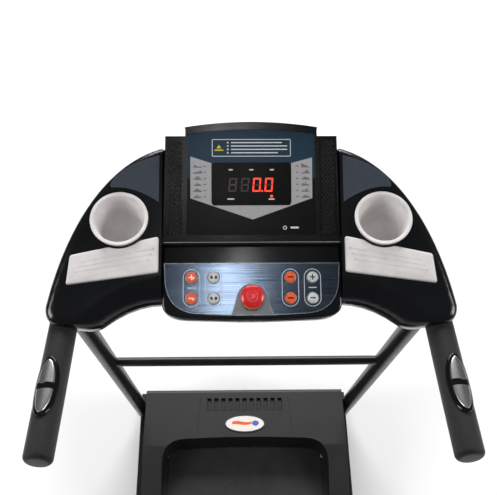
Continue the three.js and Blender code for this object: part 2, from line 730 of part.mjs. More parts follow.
// Along a grip: its own axis is Z, with the origin at its upper end.
const gripFrame = new THREE.Matrix4().makeTranslation(gripStart).multiply(
  new THREE.Matrix4().makeRotationFromQuaternion(
    new THREE.Quaternion().setFromUnitVectors(new THREE.Vector3(0, 0, 1), gripDirection)));
const gripBore = tubeRadius + gap;
const gripLead = 18; // the foam starts this far along the straight
const gripProfile = [
  [gripBore, gripLead],
  [gripRadius - 2, gripLead],
  [gripRadius, gripLead + 3],
  [gripRadius, gripLength],
  [gripRadius - 3, gripLength + 6],
  [gripRadius - 9, gripLength + 9],
  [0, gripLength + 10],
  [0, gripLength + gap],
  [gripBore, gripLength + gap],
  [gripBore, gripLead],
].map(([x, y]) => new THREE.Vector2(x, y));
const grip = new THREE.LatheGeometry(gripProfile, 20).rotateX(Math.PI / 2);
addPair(treadmill, "grip", grip.applyMatrix4(gripFrame), foam);

// Pulse sensors: an oval saddle on each grip.
const pulseMiddle = 154;
const pulseHalfLength = 52;
const pulseHalfWidth = 21;
const pulseTurn = -8 * deg;
const saddleTop = gripRadius + 3.5;
function gripRing(inner, outer) {
  const low = pulseMiddle - pulseHalfLength - 20;
  const high = pulseMiddle + pulseHalfLength + 20;
  const profile = [[inner, low], [outer, low], [outer, high], [inner, high], [inner, low]]
    .map(([x, y]) => new THREE.Vector2(x, y));
  return new THREE.LatheGeometry(profile, 32).rotateX(Math.PI / 2);
}
const pulseEllipse = new THREE.Shape();
pulseEllipse.absellipse(0, pulseMiddle, pulseHalfWidth, pulseHalfLength, 0, 2 * Math.PI);
// Turned so that the oval's along is the grip's axis and it faces up and outward.
const pulseFrame = new THREE.Matrix4().makeRotationZ(pulseTurn).multiply(
  new THREE.Matrix4().makeBasis(
    new THREE.Vector3(-1, 0, 0),
    new THREE.Vector3(0, 0, 1),
    new THREE.Vector3(0, 1, 0),
  ));
const saddle = common(gripRing(gripRadius + gap, saddleTop),
  prism(pulseEllipse, 5, 40, 14).applyMatrix4(pulseFrame));
addPair(treadmill, "pulse_housing", saddle.applyMatrix4(gripFrame), blackPlastic);

// ---- Console shells -----------------------------------------------------------------------------
// The panel frame lies in the wings' top face: x across, y up the slope and z out of the face.
const panel = new THREE.Group();
panel.position.set(0, consoleY, panelZ);
panel.rotation.x = panelTiltDeg * deg;
treadmill.add(panel);
treadmill.updateMatrixWorld(true);
const toPanel = panel.matrixWorld.clone().invert();
function inPanel(geometry) {
  return geometry.clone().applyMatrix4(toPanel);
}

const wingTop = 150;
const wingEnd = -165;
const wingOuterX = gripStart.x + wingPastHandle;
const wingEndWidth = 94;
const wingInnerX = wingOuterX - wingEndWidth;
const centreFoot = -148;
function wingsOutline(inset) {
  const shape = new THREE.Shape();
  const edge = centreHalfWidth - inset;
  const top = wingTop - inset;
  const foot = centreFoot + inset;
  const end = wingEnd + inset;
  const outer = wingOuterX - inset;
  const inner = wingInnerX + inset;
  shape.moveTo(-edge + 40, foot);
  shape.quadraticCurveTo(0, foot - 6, edge - 40, foot);
  shape.quadraticCurveTo(edge, foot + 2, edge, foot + 26);
  shape.quadraticCurveTo(edge + 50, foot + 26, inner, end + 6);
  shape.quadraticCurveTo(inner + 10, end, inner + 24, end);
  shape.lineTo(outer - 30, end + 4);
  shape.quadraticCurveTo(outer, end + 6, outer - 1, end + 36);
  shape.bezierCurveTo(outer - 28, 2, outer - 92, 118, edge + 4, top - 4);
  shape.quadraticCurveTo(edge - 30, top, edge - 60, top);
  shape.lineTo(-edge + 60, top);
  shape.quadraticCurveTo(-edge + 30, top, -edge - 4, top - 4);
  shape.bezierCurveTo(92 - outer, 118, 28 - outer, 2, 1 - outer, end + 36);
  shape.quadraticCurveTo(-outer, end + 6, 30 - outer, end + 4);
  shape.lineTo(-inner - 24, end);
  shape.quadraticCurveTo(-inner - 10, end, -inner, end + 6);
  shape.quadraticCurveTo(-edge - 50, foot + 26, -edge, foot + 26);
  shape.quadraticCurveTo(-edge, foot + 2, -edge + 40, foot);
  return shape;
}
function bevelled(shape, z0, z1, bevel, down = false) {
  // An extrusion with one rounded rim, at its top or at its bottom.
  const settings = {
    depth: z1 - z0 - 2 * bevel,
    bevelEnabled: true,
    bevelSize: bevel,
    bevelThickness: bevel,
    bevelOffset: -bevel,
    bevelSegments: 2,
    curveSegments: 5,
  };
  const grown = { ...settings, depth: z1 - z0 };
  const lift = down ? z0 + bevel : z0 - bevel;
  return new THREE.ExtrudeGeometry(shape, grown).translate(0, 0, lift);
}
const roomy = 400;
function above(z) {
  return box(-roomy, roomy, -roomy, roomy, z, z + roomy);
}
function below(z) {
  return box(-roomy, roomy, -roomy, roomy, z - roomy, z);
}
const centreTop = -centreDrop;
const rim = 10;
const partingZ = -shellDepth;
const underZ = -shellDepth - coverDepth;

// The tubes and the cups pass through the shells.
const barClearance = 1;
const gripHole = gripRadius + barClearance;
const gripHoleLength = 100;
const barCutter = tube(barPath, tubeRadius + barClearance, 0, barSteps);
const gripCutter = new THREE.CylinderGeometry(gripHole, gripHole, gripHoleLength, 20)
  .rotateX(Math.PI / 2).translate(0, 0, gripHoleLength / 2).applyMatrix4(gripFrame);
const postCutter = tube(new THREE.LineCurve3(uprightAt(uprightTopZ - 200),
  uprightAt(uprightTopZ + 2)), tubeRadius + barClearance, 0, 1);
const tubeCutters = [barCutter, gripCutter, postCutter].flatMap((geometry) => [
  inPanel(geometry),
  inPanel(mirrored(geometry, -1)),
]);
const cupX = wingOuterX - cupFromWingEdge;
const cupRimZ = panelZ + cupRimAbove;
const cupFrames = {};
for (const [word, side] of Object.entries(sides)) {
  cupFrames[word] = new THREE.Matrix4()
    .makeTranslation(side * cupX, consoleY + cupAhead, cupRimZ)
    .multiply(new THREE.Matrix4().makeRotationX(cupTiltDeg * deg));
}
const cupOuter = cupRimRadius - 4;
function cupCutter(word, radius) {
  return new THREE.CylinderGeometry(radius, radius - 3, 120, 28).rotateX(Math.PI / 2)
    .translate(0, 0, -56).applyMatrix4(cupFrames[word]);
}
// The rim's upper side lies in a shallow round recess of the wing.
function cupRecess(word) {
  return new THREE.CylinderGeometry(cupRimRadius + 1.5, cupRimRadius + 1.5, 40, 28)
    .rotateX(Math.PI / 2).translate(0, 0, 15.5).applyMatrix4(cupFrames[word]);
}
const cupCutters = Object.keys(sides).flatMap((word) => [
  inPanel(cupCutter(word, cupOuter + 1)),
  inPanel(cupRecess(word)),
]);

const centreHollow = prism(roundedRect(-centreHalfWidth, centreHalfWidth, centreFoot - 20,
  wingTop + 20, 4), centreTop, 60);
const shellSolid = cut(bevelled(wingsOutline(0), partingZ, 0, rim), below(partingZ));
const shellInner = cut(
  bevelled(wingsOutline(shellWall), partingZ - 20, -shellWall, rim),
  prism(roundedRect(-centreHalfWidth - shellWall, centreHalfWidth + shellWall,
    centreFoot - 20, wingTop + 20, 4), centreTop - shellWall, 60),
);

// Buttons and the stop button pass through the control plate and the shell under it.
const buttonColumns = { left: [-102, -64.5], right: [64.5, 102] };
const buttonRows = { upper: -79, lower: -114.5 };
const stopY = -114;
const buttonSpots = [];
for (const [word, columns] of Object.entries(buttonColumns)) {
  for (const x of columns) {
    for (const [row, y] of Object.entries(buttonRows)) {
      const place = Math.abs(x) > 80 ? "outer" : "inner";
      buttonSpots.push({ name: `button_${word}_${place}_${row}`, x, y });
    }
  }
}
function post(x, y, radius, z0, z1, segments = 20) {
  const geometry = new THREE.CylinderGeometry(radius, radius, z1 - z0, segments);
  return geometry.rotateX(Math.PI / 2).translate(x, y, (z0 + z1) / 2);
}
const buttonWell = buttonRadius + 2;
const wells = buttonSpots.map(({ x, y }) => post(x, y, buttonWell, centreTop - 10,
  centreTop + 10, 12));
const stemRadius = 7;
wells.push(post(0, stopY, stemRadius + 3, centreTop - 10, centreTop + 10, 12));
add(panel, "console_upper_shell", cut(shellSolid, centreHollow, shellInner, ...wells,
  ...cupCutters, ...tubeCutters), blackPlastic);

const coverSolid = cut(bevelled(wingsOutline(0), underZ, partingZ - gap, rim, true),
  above(partingZ - gap));
const coverInner = bevelled(wingsOutline(shellWall), underZ + shellWall, partingZ + 20, rim, true);
add(panel, "console_lower_shell", cut(coverSolid, coverInner, ...cupCutters, ...tubeCutters),
  blackPlastic);

// Cup holders: tapered white cups with a rolled rim.
const cupFloor = -cupDepth;
const cupProfile = [
  [0, cupFloor - cupWall],
  [cupOuter - 9, cupFloor - cupWall],
  [cupOuter - 6, cupFloor],
  [cupOuter, -4],
  [cupRimRadius - 1, -3.4],
  [cupRimRadius, -1],
  [cupRimRadius - 2, 0],
  [cupOuter - cupWall + 1, 0],
  [cupOuter - cupWall, -3],
  [cupOuter - cupWall - 7, cupFloor + 5],
  [cupOuter - cupWall - 11, cupFloor],
  [0, cupFloor],
].map(([x, y]) => new THREE.Vector2(x, y));
for (const word of Object.keys(sides)) {
  const cup = new THREE.LatheGeometry(cupProfile, 26).rotateX(Math.PI / 2);
  add(treadmill, `cup_${word}`, cup.applyMatrix4(cupFrames[word]), whitePlastic);
}

// White pads beside the control plate, cut round the cups.
const padRise = 9;
const padOutline = outline([
  [centreHalfWidth + 4, -12],
  [wingOuterX - 43, -43],
  [wingOuterX - 37, -93],
  [centreHalfWidth + 4, -73],
].reverse());
const pad = cut(
  bevelled(padOutline, gap, padRise, 2),
  below(gap),
  inPanel(cupCutter("right", cupRimRadius + 2)),
);
addPair(panel, "pad", pad, whitePlastic);

// Control plate with its button holes.
const plateZ = centreTop + gap;
const controlThickness = 2.5;
const plateOutline = new THREE.Shape();
plateOutline.moveTo(-149, -54);
plateOutline.lineTo(-147, -88);
plateOutline.quadraticCurveTo(-142, -134, -98, -140);
plateOutline.quadraticCurveTo(0, -147, 98, -140);
plateOutline.quadraticCurveTo(142, -134, 147, -88);
plateOutline.lineTo(149, -54);
for (const { x, y } of buttonSpots) plateOutline.holes.push(circle(x, y, buttonRadius + runFit));
plateOutline.holes.push(circle(0, stopY, stemRadius + runFit));
add(panel, "control_plate", prism(plateOutline, plateZ, plateZ + controlThickness, 8), steel);
const plateTopZ = plateZ + controlThickness;

// Buttons: orange inside the outer columns, silver in the others.
const buttonProud = 2.6;
const buttonDepth = 7;
for (const { name, x, y } of buttonSpots) {
  const profile = [
    [0, -buttonDepth],
    [buttonRadius, -buttonDepth],
    [buttonRadius, buttonProud - 1],
    [buttonRadius - 1, buttonProud - 0.2],
    [0, buttonProud + 0.2],
  ].map(([px, py]) => new THREE.Vector2(px, py));
  const button = new THREE.LatheGeometry(profile, 20).rotateX(Math.PI / 2);
  button.translate(x, y, plateTopZ);
  const orange = name.includes("left_outer") || name.includes("right_inner");
  add(panel, name, button, orange ? orangePlastic : silverPlastic);
}

// Stop button: a red mushroom head on a stem, over a yellow collar.
const collarHeight = 5;
const stopTravel = 5;
const collar = [
  [stemRadius + runFit, gap],
  [stopRadius - 2, gap],
  [stopRadius - 3, collarHeight],
  [stemRadius + runFit, collarHeight],
  [stemRadius + runFit, gap],
].map(([x, y]) => new THREE.Vector2(x, y));
add(panel, "stop_collar", new THREE.LatheGeometry(collar, 28).rotateX(Math.PI / 2)
  .translate(0, stopY, plateTopZ), yellowPlastic);
const headBottom = collarHeight + stopTravel + 0.5;
const stopProfile = [
  [0, -14],
  [stemRadius, -14],
  [stemRadius, headBottom],
  [stopRadius - 2, headBottom],
  [stopRadius, headBottom + 2],
  [stopRadius, headBottom + 6],
  [stopRadius * 0.8, headBottom + 9],
  [stopRadius * 0.45, headBottom + 11],
  [0, headBottom + 12],
].map(([x, y]) => new THREE.Vector2(x, y));
add(panel, "stop_button", new THREE.LatheGeometry(stopProfile, 28).rotateX(Math.PI / 2)
  .translate(0, stopY, plateTopZ), redPlastic);

// The control board hangs under the plate, inside the shells.
const boardTop = partingZ - 14;
const boardHalfWidth = 128;
const boardFoot = -126;
const boardHead = -52;
const circuitThickness = 1.6;
add(panel, "control_board", box(-boardHalfWidth, boardHalfWidth, boardFoot, boardHead,
  boardTop - circuitThickness, boardTop), greenBoard);

// ---- Display ------------------------------------------------------------------------------------
// Its frame lies in the display's face: y up the face from its foot, z out of it.
const display = new THREE.Group();
display.position.set(0, consoleY - displayFootBehind, panelZ - displayFootUnder);
display.rotation.x = displayTiltDeg * deg;
treadmill.add(display);
treadmill.updateMatrixWorld(true);
const panelInDisplay = display.matrixWorld.clone().invert().multiply(panel.matrixWorld);
const underDisplay = below(centreTop + gap).applyMatrix4(panelInDisplay);

const speakerDrop = 2.5; // the speaker faces lie this much under the display's
const speakerFootHalf = centreHalfWidth - 1.5;
const speakerTopHalf = speakerFootHalf - 4;
const bodyDepth = 70;
function displayFace(inset, topHalf, footHalf) {
  const shape = new THREE.Shape();
  shape.moveTo(-footHalf + inset + 4, inset + 2);
  shape.lineTo(footHalf - inset - 4, inset + 2);
  shape.quadraticCurveTo(footHalf - inset, inset + 2, footHalf - inset, inset + 6);
  shape.lineTo(topHalf - inset, displayHeight - 9 - inset);
  shape.quadraticCurveTo(0, displayHeight + 9 - inset, -topHalf + inset, displayHeight - 9 - inset);
  shape.lineTo(-footHalf + inset, inset + 6);
  shape.quadraticCurveTo(-footHalf + inset, inset + 2, -footHalf + inset + 4, inset + 2);
  return shape;
}
const speakerBody = outline([
  [-speakerFootHalf, 0],
  [speakerFootHalf, 0],
  [speakerTopHalf, speakerTop],
  [-speakerTopHalf, speakerTop],
]);
const lens = { halfWidth: 68, foot: 57, top: 130 };
const filmRecess = 1.6;
// The ledge under the display, where a phone or a book rests, is moulded with the housing.
const ledge = roundedRect(-speakerFootHalf - 1, speakerFootHalf + 1, -10, 3, 3);
const housing = join(
  prism(speakerBody, -bodyDepth, -speakerDrop),
  prism(ledge, -30, 7),
  prism(displayFace(0, displayHalfWidth - 2, displayHalfWidth + 1), -bodyDepth, 0, 10),
);
const filmFace = displayFace(4, displayHalfWidth - 2, displayHalfWidth + 1);
// The display's electronics have a pocket in the housing's back.
const pocketHalf = 100;
const pocketFoot = 70;
const pocketFloor = -8;
const boardPocket = box(-pocketHalf, pocketHalf, pocketFoot, speakerTop, -bodyDepth, pocketFloor);
// The housing's back is upright, level with the top of its face.
const backY = consoleY + 168;
const behindBack = box(-roomy, roomy, backY, backY + roomy, 0, 2 * panelZ)
  .applyMatrix4(display.matrixWorld.clone().invert());
add(display, "display_housing", cut(housing, prism(filmFace, -filmRecess, 5, 10), boardPocket,
  underDisplay, behindBack), blackPlastic);
const film = displayFace(4 + gap, displayHalfWidth - 2, displayHalfWidth + 1);
const lensHole = roundedRect(-lens.halfWidth, lens.halfWidth, lens.foot, lens.top, 6);
film.holes.push(lensHole);
add(display, "display_film", prism(film, -filmRecess + gap, 0, 10), navyFilm);
add(display, "display_lens", prism(roundedRect(-lens.halfWidth + gap, lens.halfWidth - gap,
  lens.foot + gap, lens.top - gap, 6), -filmRecess + gap, 0.4), blackPlastic);

export default treadmill;
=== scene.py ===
import json
import math

import bmesh
import bpy
from mathutils import Matrix, Vector


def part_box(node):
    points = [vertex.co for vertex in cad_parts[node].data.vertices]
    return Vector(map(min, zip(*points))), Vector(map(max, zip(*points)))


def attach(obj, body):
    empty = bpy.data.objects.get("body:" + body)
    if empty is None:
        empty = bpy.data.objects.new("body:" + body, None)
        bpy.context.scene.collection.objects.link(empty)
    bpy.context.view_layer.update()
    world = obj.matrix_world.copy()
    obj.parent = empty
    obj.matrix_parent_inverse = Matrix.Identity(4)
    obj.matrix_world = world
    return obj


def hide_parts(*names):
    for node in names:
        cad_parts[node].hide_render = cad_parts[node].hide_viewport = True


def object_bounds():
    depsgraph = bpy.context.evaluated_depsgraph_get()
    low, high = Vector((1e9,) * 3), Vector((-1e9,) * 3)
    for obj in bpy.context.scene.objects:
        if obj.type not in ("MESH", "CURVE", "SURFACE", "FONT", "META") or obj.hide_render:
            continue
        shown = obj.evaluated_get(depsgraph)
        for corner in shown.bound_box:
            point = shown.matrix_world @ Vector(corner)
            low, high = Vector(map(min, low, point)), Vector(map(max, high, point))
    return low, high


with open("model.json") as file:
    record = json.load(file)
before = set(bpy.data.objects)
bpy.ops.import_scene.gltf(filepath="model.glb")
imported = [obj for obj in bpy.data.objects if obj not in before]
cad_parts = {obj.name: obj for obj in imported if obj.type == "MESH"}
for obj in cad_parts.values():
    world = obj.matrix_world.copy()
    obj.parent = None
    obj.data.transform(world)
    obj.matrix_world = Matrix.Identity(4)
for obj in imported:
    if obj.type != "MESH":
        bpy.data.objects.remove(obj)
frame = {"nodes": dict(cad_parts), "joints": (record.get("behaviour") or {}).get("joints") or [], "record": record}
cad_box = [list(corner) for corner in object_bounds()]
record = frame["record"]

# ---- Camera, floor and light ---------------------------------------------------------------------
# The runner's view: from above the deck, looking steeply down at the console. The floor is a pale
# painted studio floor, lit by two side softboxes and a large one beyond the machine.
hinge_line = next(j for j in frame["joints"] if j["name"] == "deck_fold")["pos_m"]
CONSOLE_Y = hinge_line[1] - 0.105  # the console's reference line
CAMERA_BACK = 0.760
CAMERA_LEFT = 0.0362
CAMERA_HEIGHT = 2.280
CAMERA_LENS_MM = 57.95
CAMERA_DOWN = math.radians(57.0)
CAMERA_PAN = math.radians(1.295)
CAMERA_ROLL = math.radians(-0.267)

camera_data = bpy.data.cameras.new("camera")
camera_data.lens = CAMERA_LENS_MM
camera_data.sensor_width = 36.0
camera_data.clip_end = 50.0
camera = bpy.data.objects.new("camera", camera_data)
bpy.context.collection.objects.link(camera)
look_down = Matrix.Rotation(math.pi / 2 - CAMERA_DOWN, 4, "X")
camera.matrix_world = (
    Matrix.Translation((-CAMERA_LEFT, CONSOLE_Y - CAMERA_BACK, CAMERA_HEIGHT))
    @ look_down
    @ Matrix.Rotation(-CAMERA_PAN, 4, "Y")
    @ Matrix.Rotation(CAMERA_ROLL, 4, "Z")
)
bpy.context.scene.camera = camera

FLOOR_HALF = 12.0
floor_mesh = bpy.data.meshes.new("studio_floor")
floor_mesh.from_pydata(
    [(-FLOOR_HALF, -FLOOR_HALF, 0), (FLOOR_HALF, -FLOOR_HALF, 0),
     (FLOOR_HALF, FLOOR_HALF, 0), (-FLOOR_HALF, FLOOR_HALF, 0)],
    [], [(0, 1, 2, 3)])
studio_floor = bpy.data.objects.new("studio_floor", floor_mesh)
studio_floor.location.z = cad_box[0][2] - 0.001
bpy.context.collection.objects.link(studio_floor)
floor_paint = bpy.data.materials.new("floor_paint")
floor_paint.use_nodes = True
floor_shader = floor_paint.node_tree.nodes["Principled BSDF"]
floor_shader.inputs["Base Color"].default_value = (0.9, 0.9, 0.9, 1)
floor_shader.inputs["Roughness"].default_value = 0.9
floor_mesh.materials.append(floor_paint)

world = bpy.data.worlds.new("studio_air")
world.use_nodes = True
background = world.node_tree.nodes["Background"]
background.inputs["Color"].default_value = (1, 1, 1, 1)
background.inputs["Strength"].default_value = 0.1
bpy.context.scene.world = world
bpy.context.scene.view_settings.view_transform = "Standard"


def softbox(name, place, aim, width, height, watts):
    """A rectangular studio light at a place, aimed at a point, in metres and watts."""
    light = bpy.data.lights.new(name, "AREA")
    light.shape = "RECTANGLE"
    light.size = width
    light.size_y = height
    light.energy = watts
    lamp = bpy.data.objects.new(name, light)
    lamp.location = place
    lamp.rotation_euler = (Vector(aim) - Vector(place)).to_track_quat("-Z", "Y").to_euler()
    bpy.context.collection.objects.link(lamp)


console_aim = (0, CONSOLE_Y, 1.15)
softbox("front_softbox", (0, 4.6, 3.6), (0, 1.0, 0), 4.0, 2.4, 280)
softbox("left_softbox", (-2.6, CONSOLE_Y - 0.9, 2.6), console_aim, 1.4, 1.8, 62)
softbox("right_softbox", (2.6, CONSOLE_Y - 0.7, 2.4), console_aim, 1.2, 1.6, 52)
# A narrow strip over the console draws the long highlight down the brushed plate.
softbox("strip_softbox", (-0.045, 0.05, 2.67), (-0.04, CONSOLE_Y - 0.1, 1.12), 0.08, 0.3, 1.1)

# ---- Moulded black ABS: console shells and display housing ---------------------------------------
# The console's shells are injection-moulded ABS, screwed together from below. Their faces have a
# fine spark-eroded grain that lifts the gloss, and a faint lighter speckle in the colour that is
# partly the plastic's own tone and partly painted glint, where the light rakes the grain.


def linear(text, alpha=1.0):
    """An sRGB hex colour as linear RGBA."""
    channels = [int(text[i:i + 2], 16) / 255 for i in (1, 3, 5)]
    return tuple(c / 12.92 if c <= 0.04045 else ((c + 0.055) / 1.055) ** 2.4
                 for c in channels) + (alpha,)


def add_node(tree, kind, settings=None, links=None):
    """One shader node with its settings, and what feeds each of its sockets."""
    node = tree.nodes.new(kind)
    for name, value in (settings or {}).items():
        if isinstance(name, int) or name in node.inputs:
            node.inputs[name].default_value = value
        else:
            setattr(node, name, value)
    for name, source in (links or {}).items():
        tree.links.new(source, node.inputs[name])
    return node


def finish(name, roughness, metallic=0.0, **sockets):
    """A new material, its node tree, its shader and its place coordinates, in metres."""
    material = bpy.data.materials.new(name)
    material.use_nodes = True
    tree = material.node_tree
    shader = tree.nodes["Principled BSDF"]
    shader.inputs["Roughness"].default_value = roughness
    shader.inputs["Metallic"].default_value = metallic
    for socket, value in sockets.items():
        shader.inputs[socket.replace("_", " ")].default_value = value
    place = add_node(tree, "ShaderNodeTexCoord").outputs["Object"]
    return material, tree, shader, place


def mottled(tree, shader, place, dark, light, size_mm, detail=3.0):
    """The base colour drifts between two shades over patches of that size."""
    cloud = add_node(tree, "ShaderNodeTexNoise", {"Scale": 1000 / size_mm, "Detail": detail},
                     {"Vector": place})
    ramp = add_node(tree, "ShaderNodeValToRGB", {}, {"Fac": cloud.outputs["Fac"]})
    ramp.color_ramp.elements[0].position = 0.35
    ramp.color_ramp.elements[0].color = linear(dark)
    ramp.color_ramp.elements[1].position = 0.65
    ramp.color_ramp.elements[1].color = linear(light)
    tree.links.new(ramp.outputs["Color"], shader.inputs["Base Color"])
    return cloud


def worn(tree, shader, place, low, high, size_mm):
    """The roughness drifts between two values over patches of that size, as handling leaves it."""
    cloud = add_node(tree, "ShaderNodeTexNoise", {"Scale": 1000 / size_mm, "Detail": 4.0},
                     {"Vector": place})
    spread = add_node(tree, "ShaderNodeMapRange", {"To Min": low, "To Max": high},
                      {"Value": cloud.outputs["Fac"]})
    tree.links.new(spread.outputs["Result"], shader.inputs["Roughness"])


def grained(tree, shader, height, depth_mm, strength=1.0):
    """A height pattern from 0 to 1 as bump of that depth."""
    bump = add_node(tree, "ShaderNodeBump", {"Strength": strength, "Distance": depth_mm / 1000},
                    {"Height": height})
    tree.links.new(bump.outputs["Normal"], shader.inputs["Normal"])


GLINT_SPECKLE_MM = 1.4


def moulded_black(name, dark, light, grain_mm, depth_mm, low, high):
    """Black ABS: a speckled colour, partly painted glint, a roughness that drifts, and a fine moulded grain."""
    material, tree, shader, place = finish(name, low, IOR=1.52)
    # The colour's speckle is partly painted glint of the grain.
    mottled(tree, shader, place, dark, light, GLINT_SPECKLE_MM)
    worn(tree, shader, place, low, high, 60)
    grain = add_node(tree, "ShaderNodeTexNoise", {"Scale": 1000 / grain_mm, "Detail": 2.0},
                     {"Vector": place})
    grained(tree, shader, grain.outputs["Fac"], depth_mm)
    return material


gloss_abs = moulded_black("moulded_gloss_abs", "#07080a", "#0c0e12", 1.2, 0.02, 0.14, 0.26)
grained_abs = moulded_black("grained_abs", "#0b0c0f", "#131519", 0.9, 0.08, 0.34, 0.5)
hood_abs = moulded_black("hood_abs", "#0a0b0d", "#111215", 1.0, 0.06, 0.4, 0.55)

# The console's face is tilted up towards the runner.
PANEL_TILT = math.radians(22)
PANEL_Z = 1.165
panel = Matrix.Translation((0, CONSOLE_Y, PANEL_Z)) @ Matrix.Rotation(PANEL_TILT, 4, "X")
# The display is tilted more than the panel, and its foot is a little nearer the runner.
DISPLAY_TILT = math.radians(30)
DISPLAY_BEHIND = 0.009
DISPLAY_Z = PANEL_Z - 0.014
display = (Matrix.Translation((0, CONSOLE_Y - DISPLAY_BEHIND, DISPLAY_Z))
           @ Matrix.Rotation(DISPLAY_TILT, 4, "X"))


def piece(name, mesh, material, body, slot, *nodes):
    """A new visible piece: its material, the CAD body it rides on, and the nodes it stands for."""
    made = bpy.data.objects.new(name, mesh)
    bpy.context.collection.objects.link(made)
    made.data.materials.clear()
    made.data.materials.append(material)
    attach(made, body)
    if nodes:
        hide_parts(*nodes)
    return made


def settled(made):
    """The piece's modifiers become its mesh."""
    graph = bpy.context.evaluated_depsgraph_get()
    mesh = bpy.data.meshes.new_from_object(made.evaluated_get(graph))
    made.modifiers.clear()
    made.data = mesh
    return made


def smooth(mesh, degrees):
    """Smooth shading, but for edges that fold by more than that."""
    mesh.polygons.foreach_set("use_smooth", [True] * len(mesh.polygons))
    mesh.set_sharp_from_angle(angle=math.radians(degrees))
    mesh.update()


def softened(node, material, body, slot, radius_mm, segments=3, sharp=32, flat=1.5):
    """A CAD solid again with clean faces and rounded edges, as a mould or a press leaves them."""
    work = bmesh.new()
    work.from_mesh(frame["nodes"][node].data)
    bmesh.ops.remove_doubles(work, verts=work.verts, dist=2e-5)
    bmesh.ops.dissolve_limit(work, angle_limit=math.radians(flat), verts=work.verts,
                             edges=work.edges)
    mesh = bpy.data.meshes.new(node + "_shape")
    work.to_mesh(mesh)
    work.free()
    made = piece(node + "_finish", mesh, material, body, slot, node)
    edges = made.modifiers.new("rounded_edges", "BEVEL")
    edges.width = radius_mm / 1000
    edges.segments = segments
    edges.limit_method = "ANGLE"
    edges.angle_limit = math.radians(sharp)
    settled(made)
    smooth(made.data, 40)
    flat_faces = made.modifiers.new("flat_faces", "WEIGHTED_NORMAL")
    flat_faces.keep_sharp = True
    flat_faces.weight = 90
    return made


softened("console_lower_shell", gloss_abs, "base", "console_plastic", 1.2, 2, 40)
softened("display_housing", gloss_abs, "base", "console_plastic", 1.6, 3, 35)

# ---- Frame: powder-coated steel tube and box section ---------------------------------------------
# Uprights, crossbar, base and deck rails are welded mild steel under one satin black powder coat,
# which leaves a slight orange peel and goes glossier where hands and shoes rub it.
powder_coat, tree, shader, place = finish("black_powder_coat", 0.34, IOR=1.5)
mottled(tree, shader, place, "#0b0b0d", "#121215", 30)
worn(tree, shader, place, 0.26, 0.42, 45)
peel = add_node(tree, "ShaderNodeTexNoise", {"Scale": 1000 / 2.2, "Detail": 1.0}, {"Vector": place})
grained(tree, shader, peel.outputs["Fac"], 0.05)

TUBE_RADIUS = 0.019  # 38 mm tube


def round_bar(name, points, radius, material, body, slot, *nodes):
    """A round tube through the points, capped at both ends."""
    curve = bpy.data.curves.new(name, "CURVE")
    curve.dimensions = "3D"
    curve.bevel_depth = radius
    curve.bevel_resolution = 7
    curve.use_fill_caps = True
    line = curve.splines.new("POLY")
    line.points.add(len(points) - 1)
    for spot, point in zip(line.points, points):
        spot.co = (*point, 1)
    holder = bpy.data.objects.new(name + "_path", curve)
    bpy.context.collection.objects.link(holder)
    graph = bpy.context.evaluated_depsgraph_get()
    mesh = bpy.data.meshes.new_from_object(holder.evaluated_get(graph))
    bpy.data.objects.remove(holder)
    smooth(mesh, 45)
    return piece(name, mesh, material, body, slot, *nodes)


POST_FOOT_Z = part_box("base_front_beam")[1][2] + 0.0003
POST_FOOT_X = 0.290
POST_FOOT_Y = CONSOLE_Y + 0.118
POST_LEAN = 0.175  # backward for each metre up
POST_SPLAY = 0.042  # outward for each metre up
BEND_FOOT_Z = 1.012
BEND_CORNER_Z = 1.063
BEND_STEPS = 16
GRIP_Z = 1.069
GRIP_LENGTH = 0.261
GRIP_RISE = 0.0185
GRIP_SPLAY = 0.0115
GRIP_START_INSET = 0.016  # inward from the upright's line
GRIP_START_BEHIND = 0.102  # behind the console's line


def on_post(side, z):
    """The middle of an upright at a height."""
    rise = z - POST_FOOT_Z
    return Vector((side * (POST_FOOT_X + rise * POST_SPLAY), POST_FOOT_Y - rise * POST_LEAN, z))


def grip_start(side):
    """Where the tube comes out of its bend and runs on as a handlebar."""
    across = on_post(1, GRIP_Z).x - GRIP_START_INSET
    return Vector((side * across, CONSOLE_Y - GRIP_START_BEHIND, GRIP_Z))


def grip_way(side):
    """The handlebar's direction: back towards the runner, a little outward and up."""
    return Vector((side * GRIP_SPLAY, -GRIP_LENGTH, GRIP_RISE)).normalized()


SIDES = {"left": -1, "right": 1}
for word, side in SIDES.items():
    foot = on_post(side, POST_FOOT_Z)
    bend_foot = on_post(side, BEND_FOOT_Z)
    corner = on_post(side, BEND_CORNER_Z)
    start = grip_start(side)
    path = [foot, on_post(side, 0.5)]
    for step in range(BEND_STEPS + 1):
        t = step / BEND_STEPS
        path.append((1 - t) ** 2 * bend_foot + 2 * t * (1 - t) * corner + t * t * start)
    path.append(start + grip_way(side) * GRIP_LENGTH)
    round_bar(f"bent_tube_{word}", path, TUBE_RADIUS, powder_coat, "base", "frame_paint",
              f"upright_{word}")

bar_low, bar_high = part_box("crossbar")
bar_y = (bar_low[1] + bar_high[1]) / 2
bar_z = (bar_low[2] + bar_high[2]) / 2
bar_run = [(x, bar_y, bar_z) for x in (bar_low[0], 0, bar_high[0])]
round_bar("crossbar_tube", bar_run, (bar_high[2] - bar_low[2]) / 2, powder_coat, "base",
          "frame_paint", "crossbar")
for node in ("base_rail_left", "base_rail_right", "base_front_beam", "base_rear_beam"):
    softened(node, powder_coat, "base", "frame_paint", 1.5, 2, 35)
for node in ("deck_rail_left", "deck_rail_right", "deck_rear_beam", "strut_beam", "motor_plate"):
    softened(node, powder_coat, "deck", "frame_paint", 1.2, 2, 35)

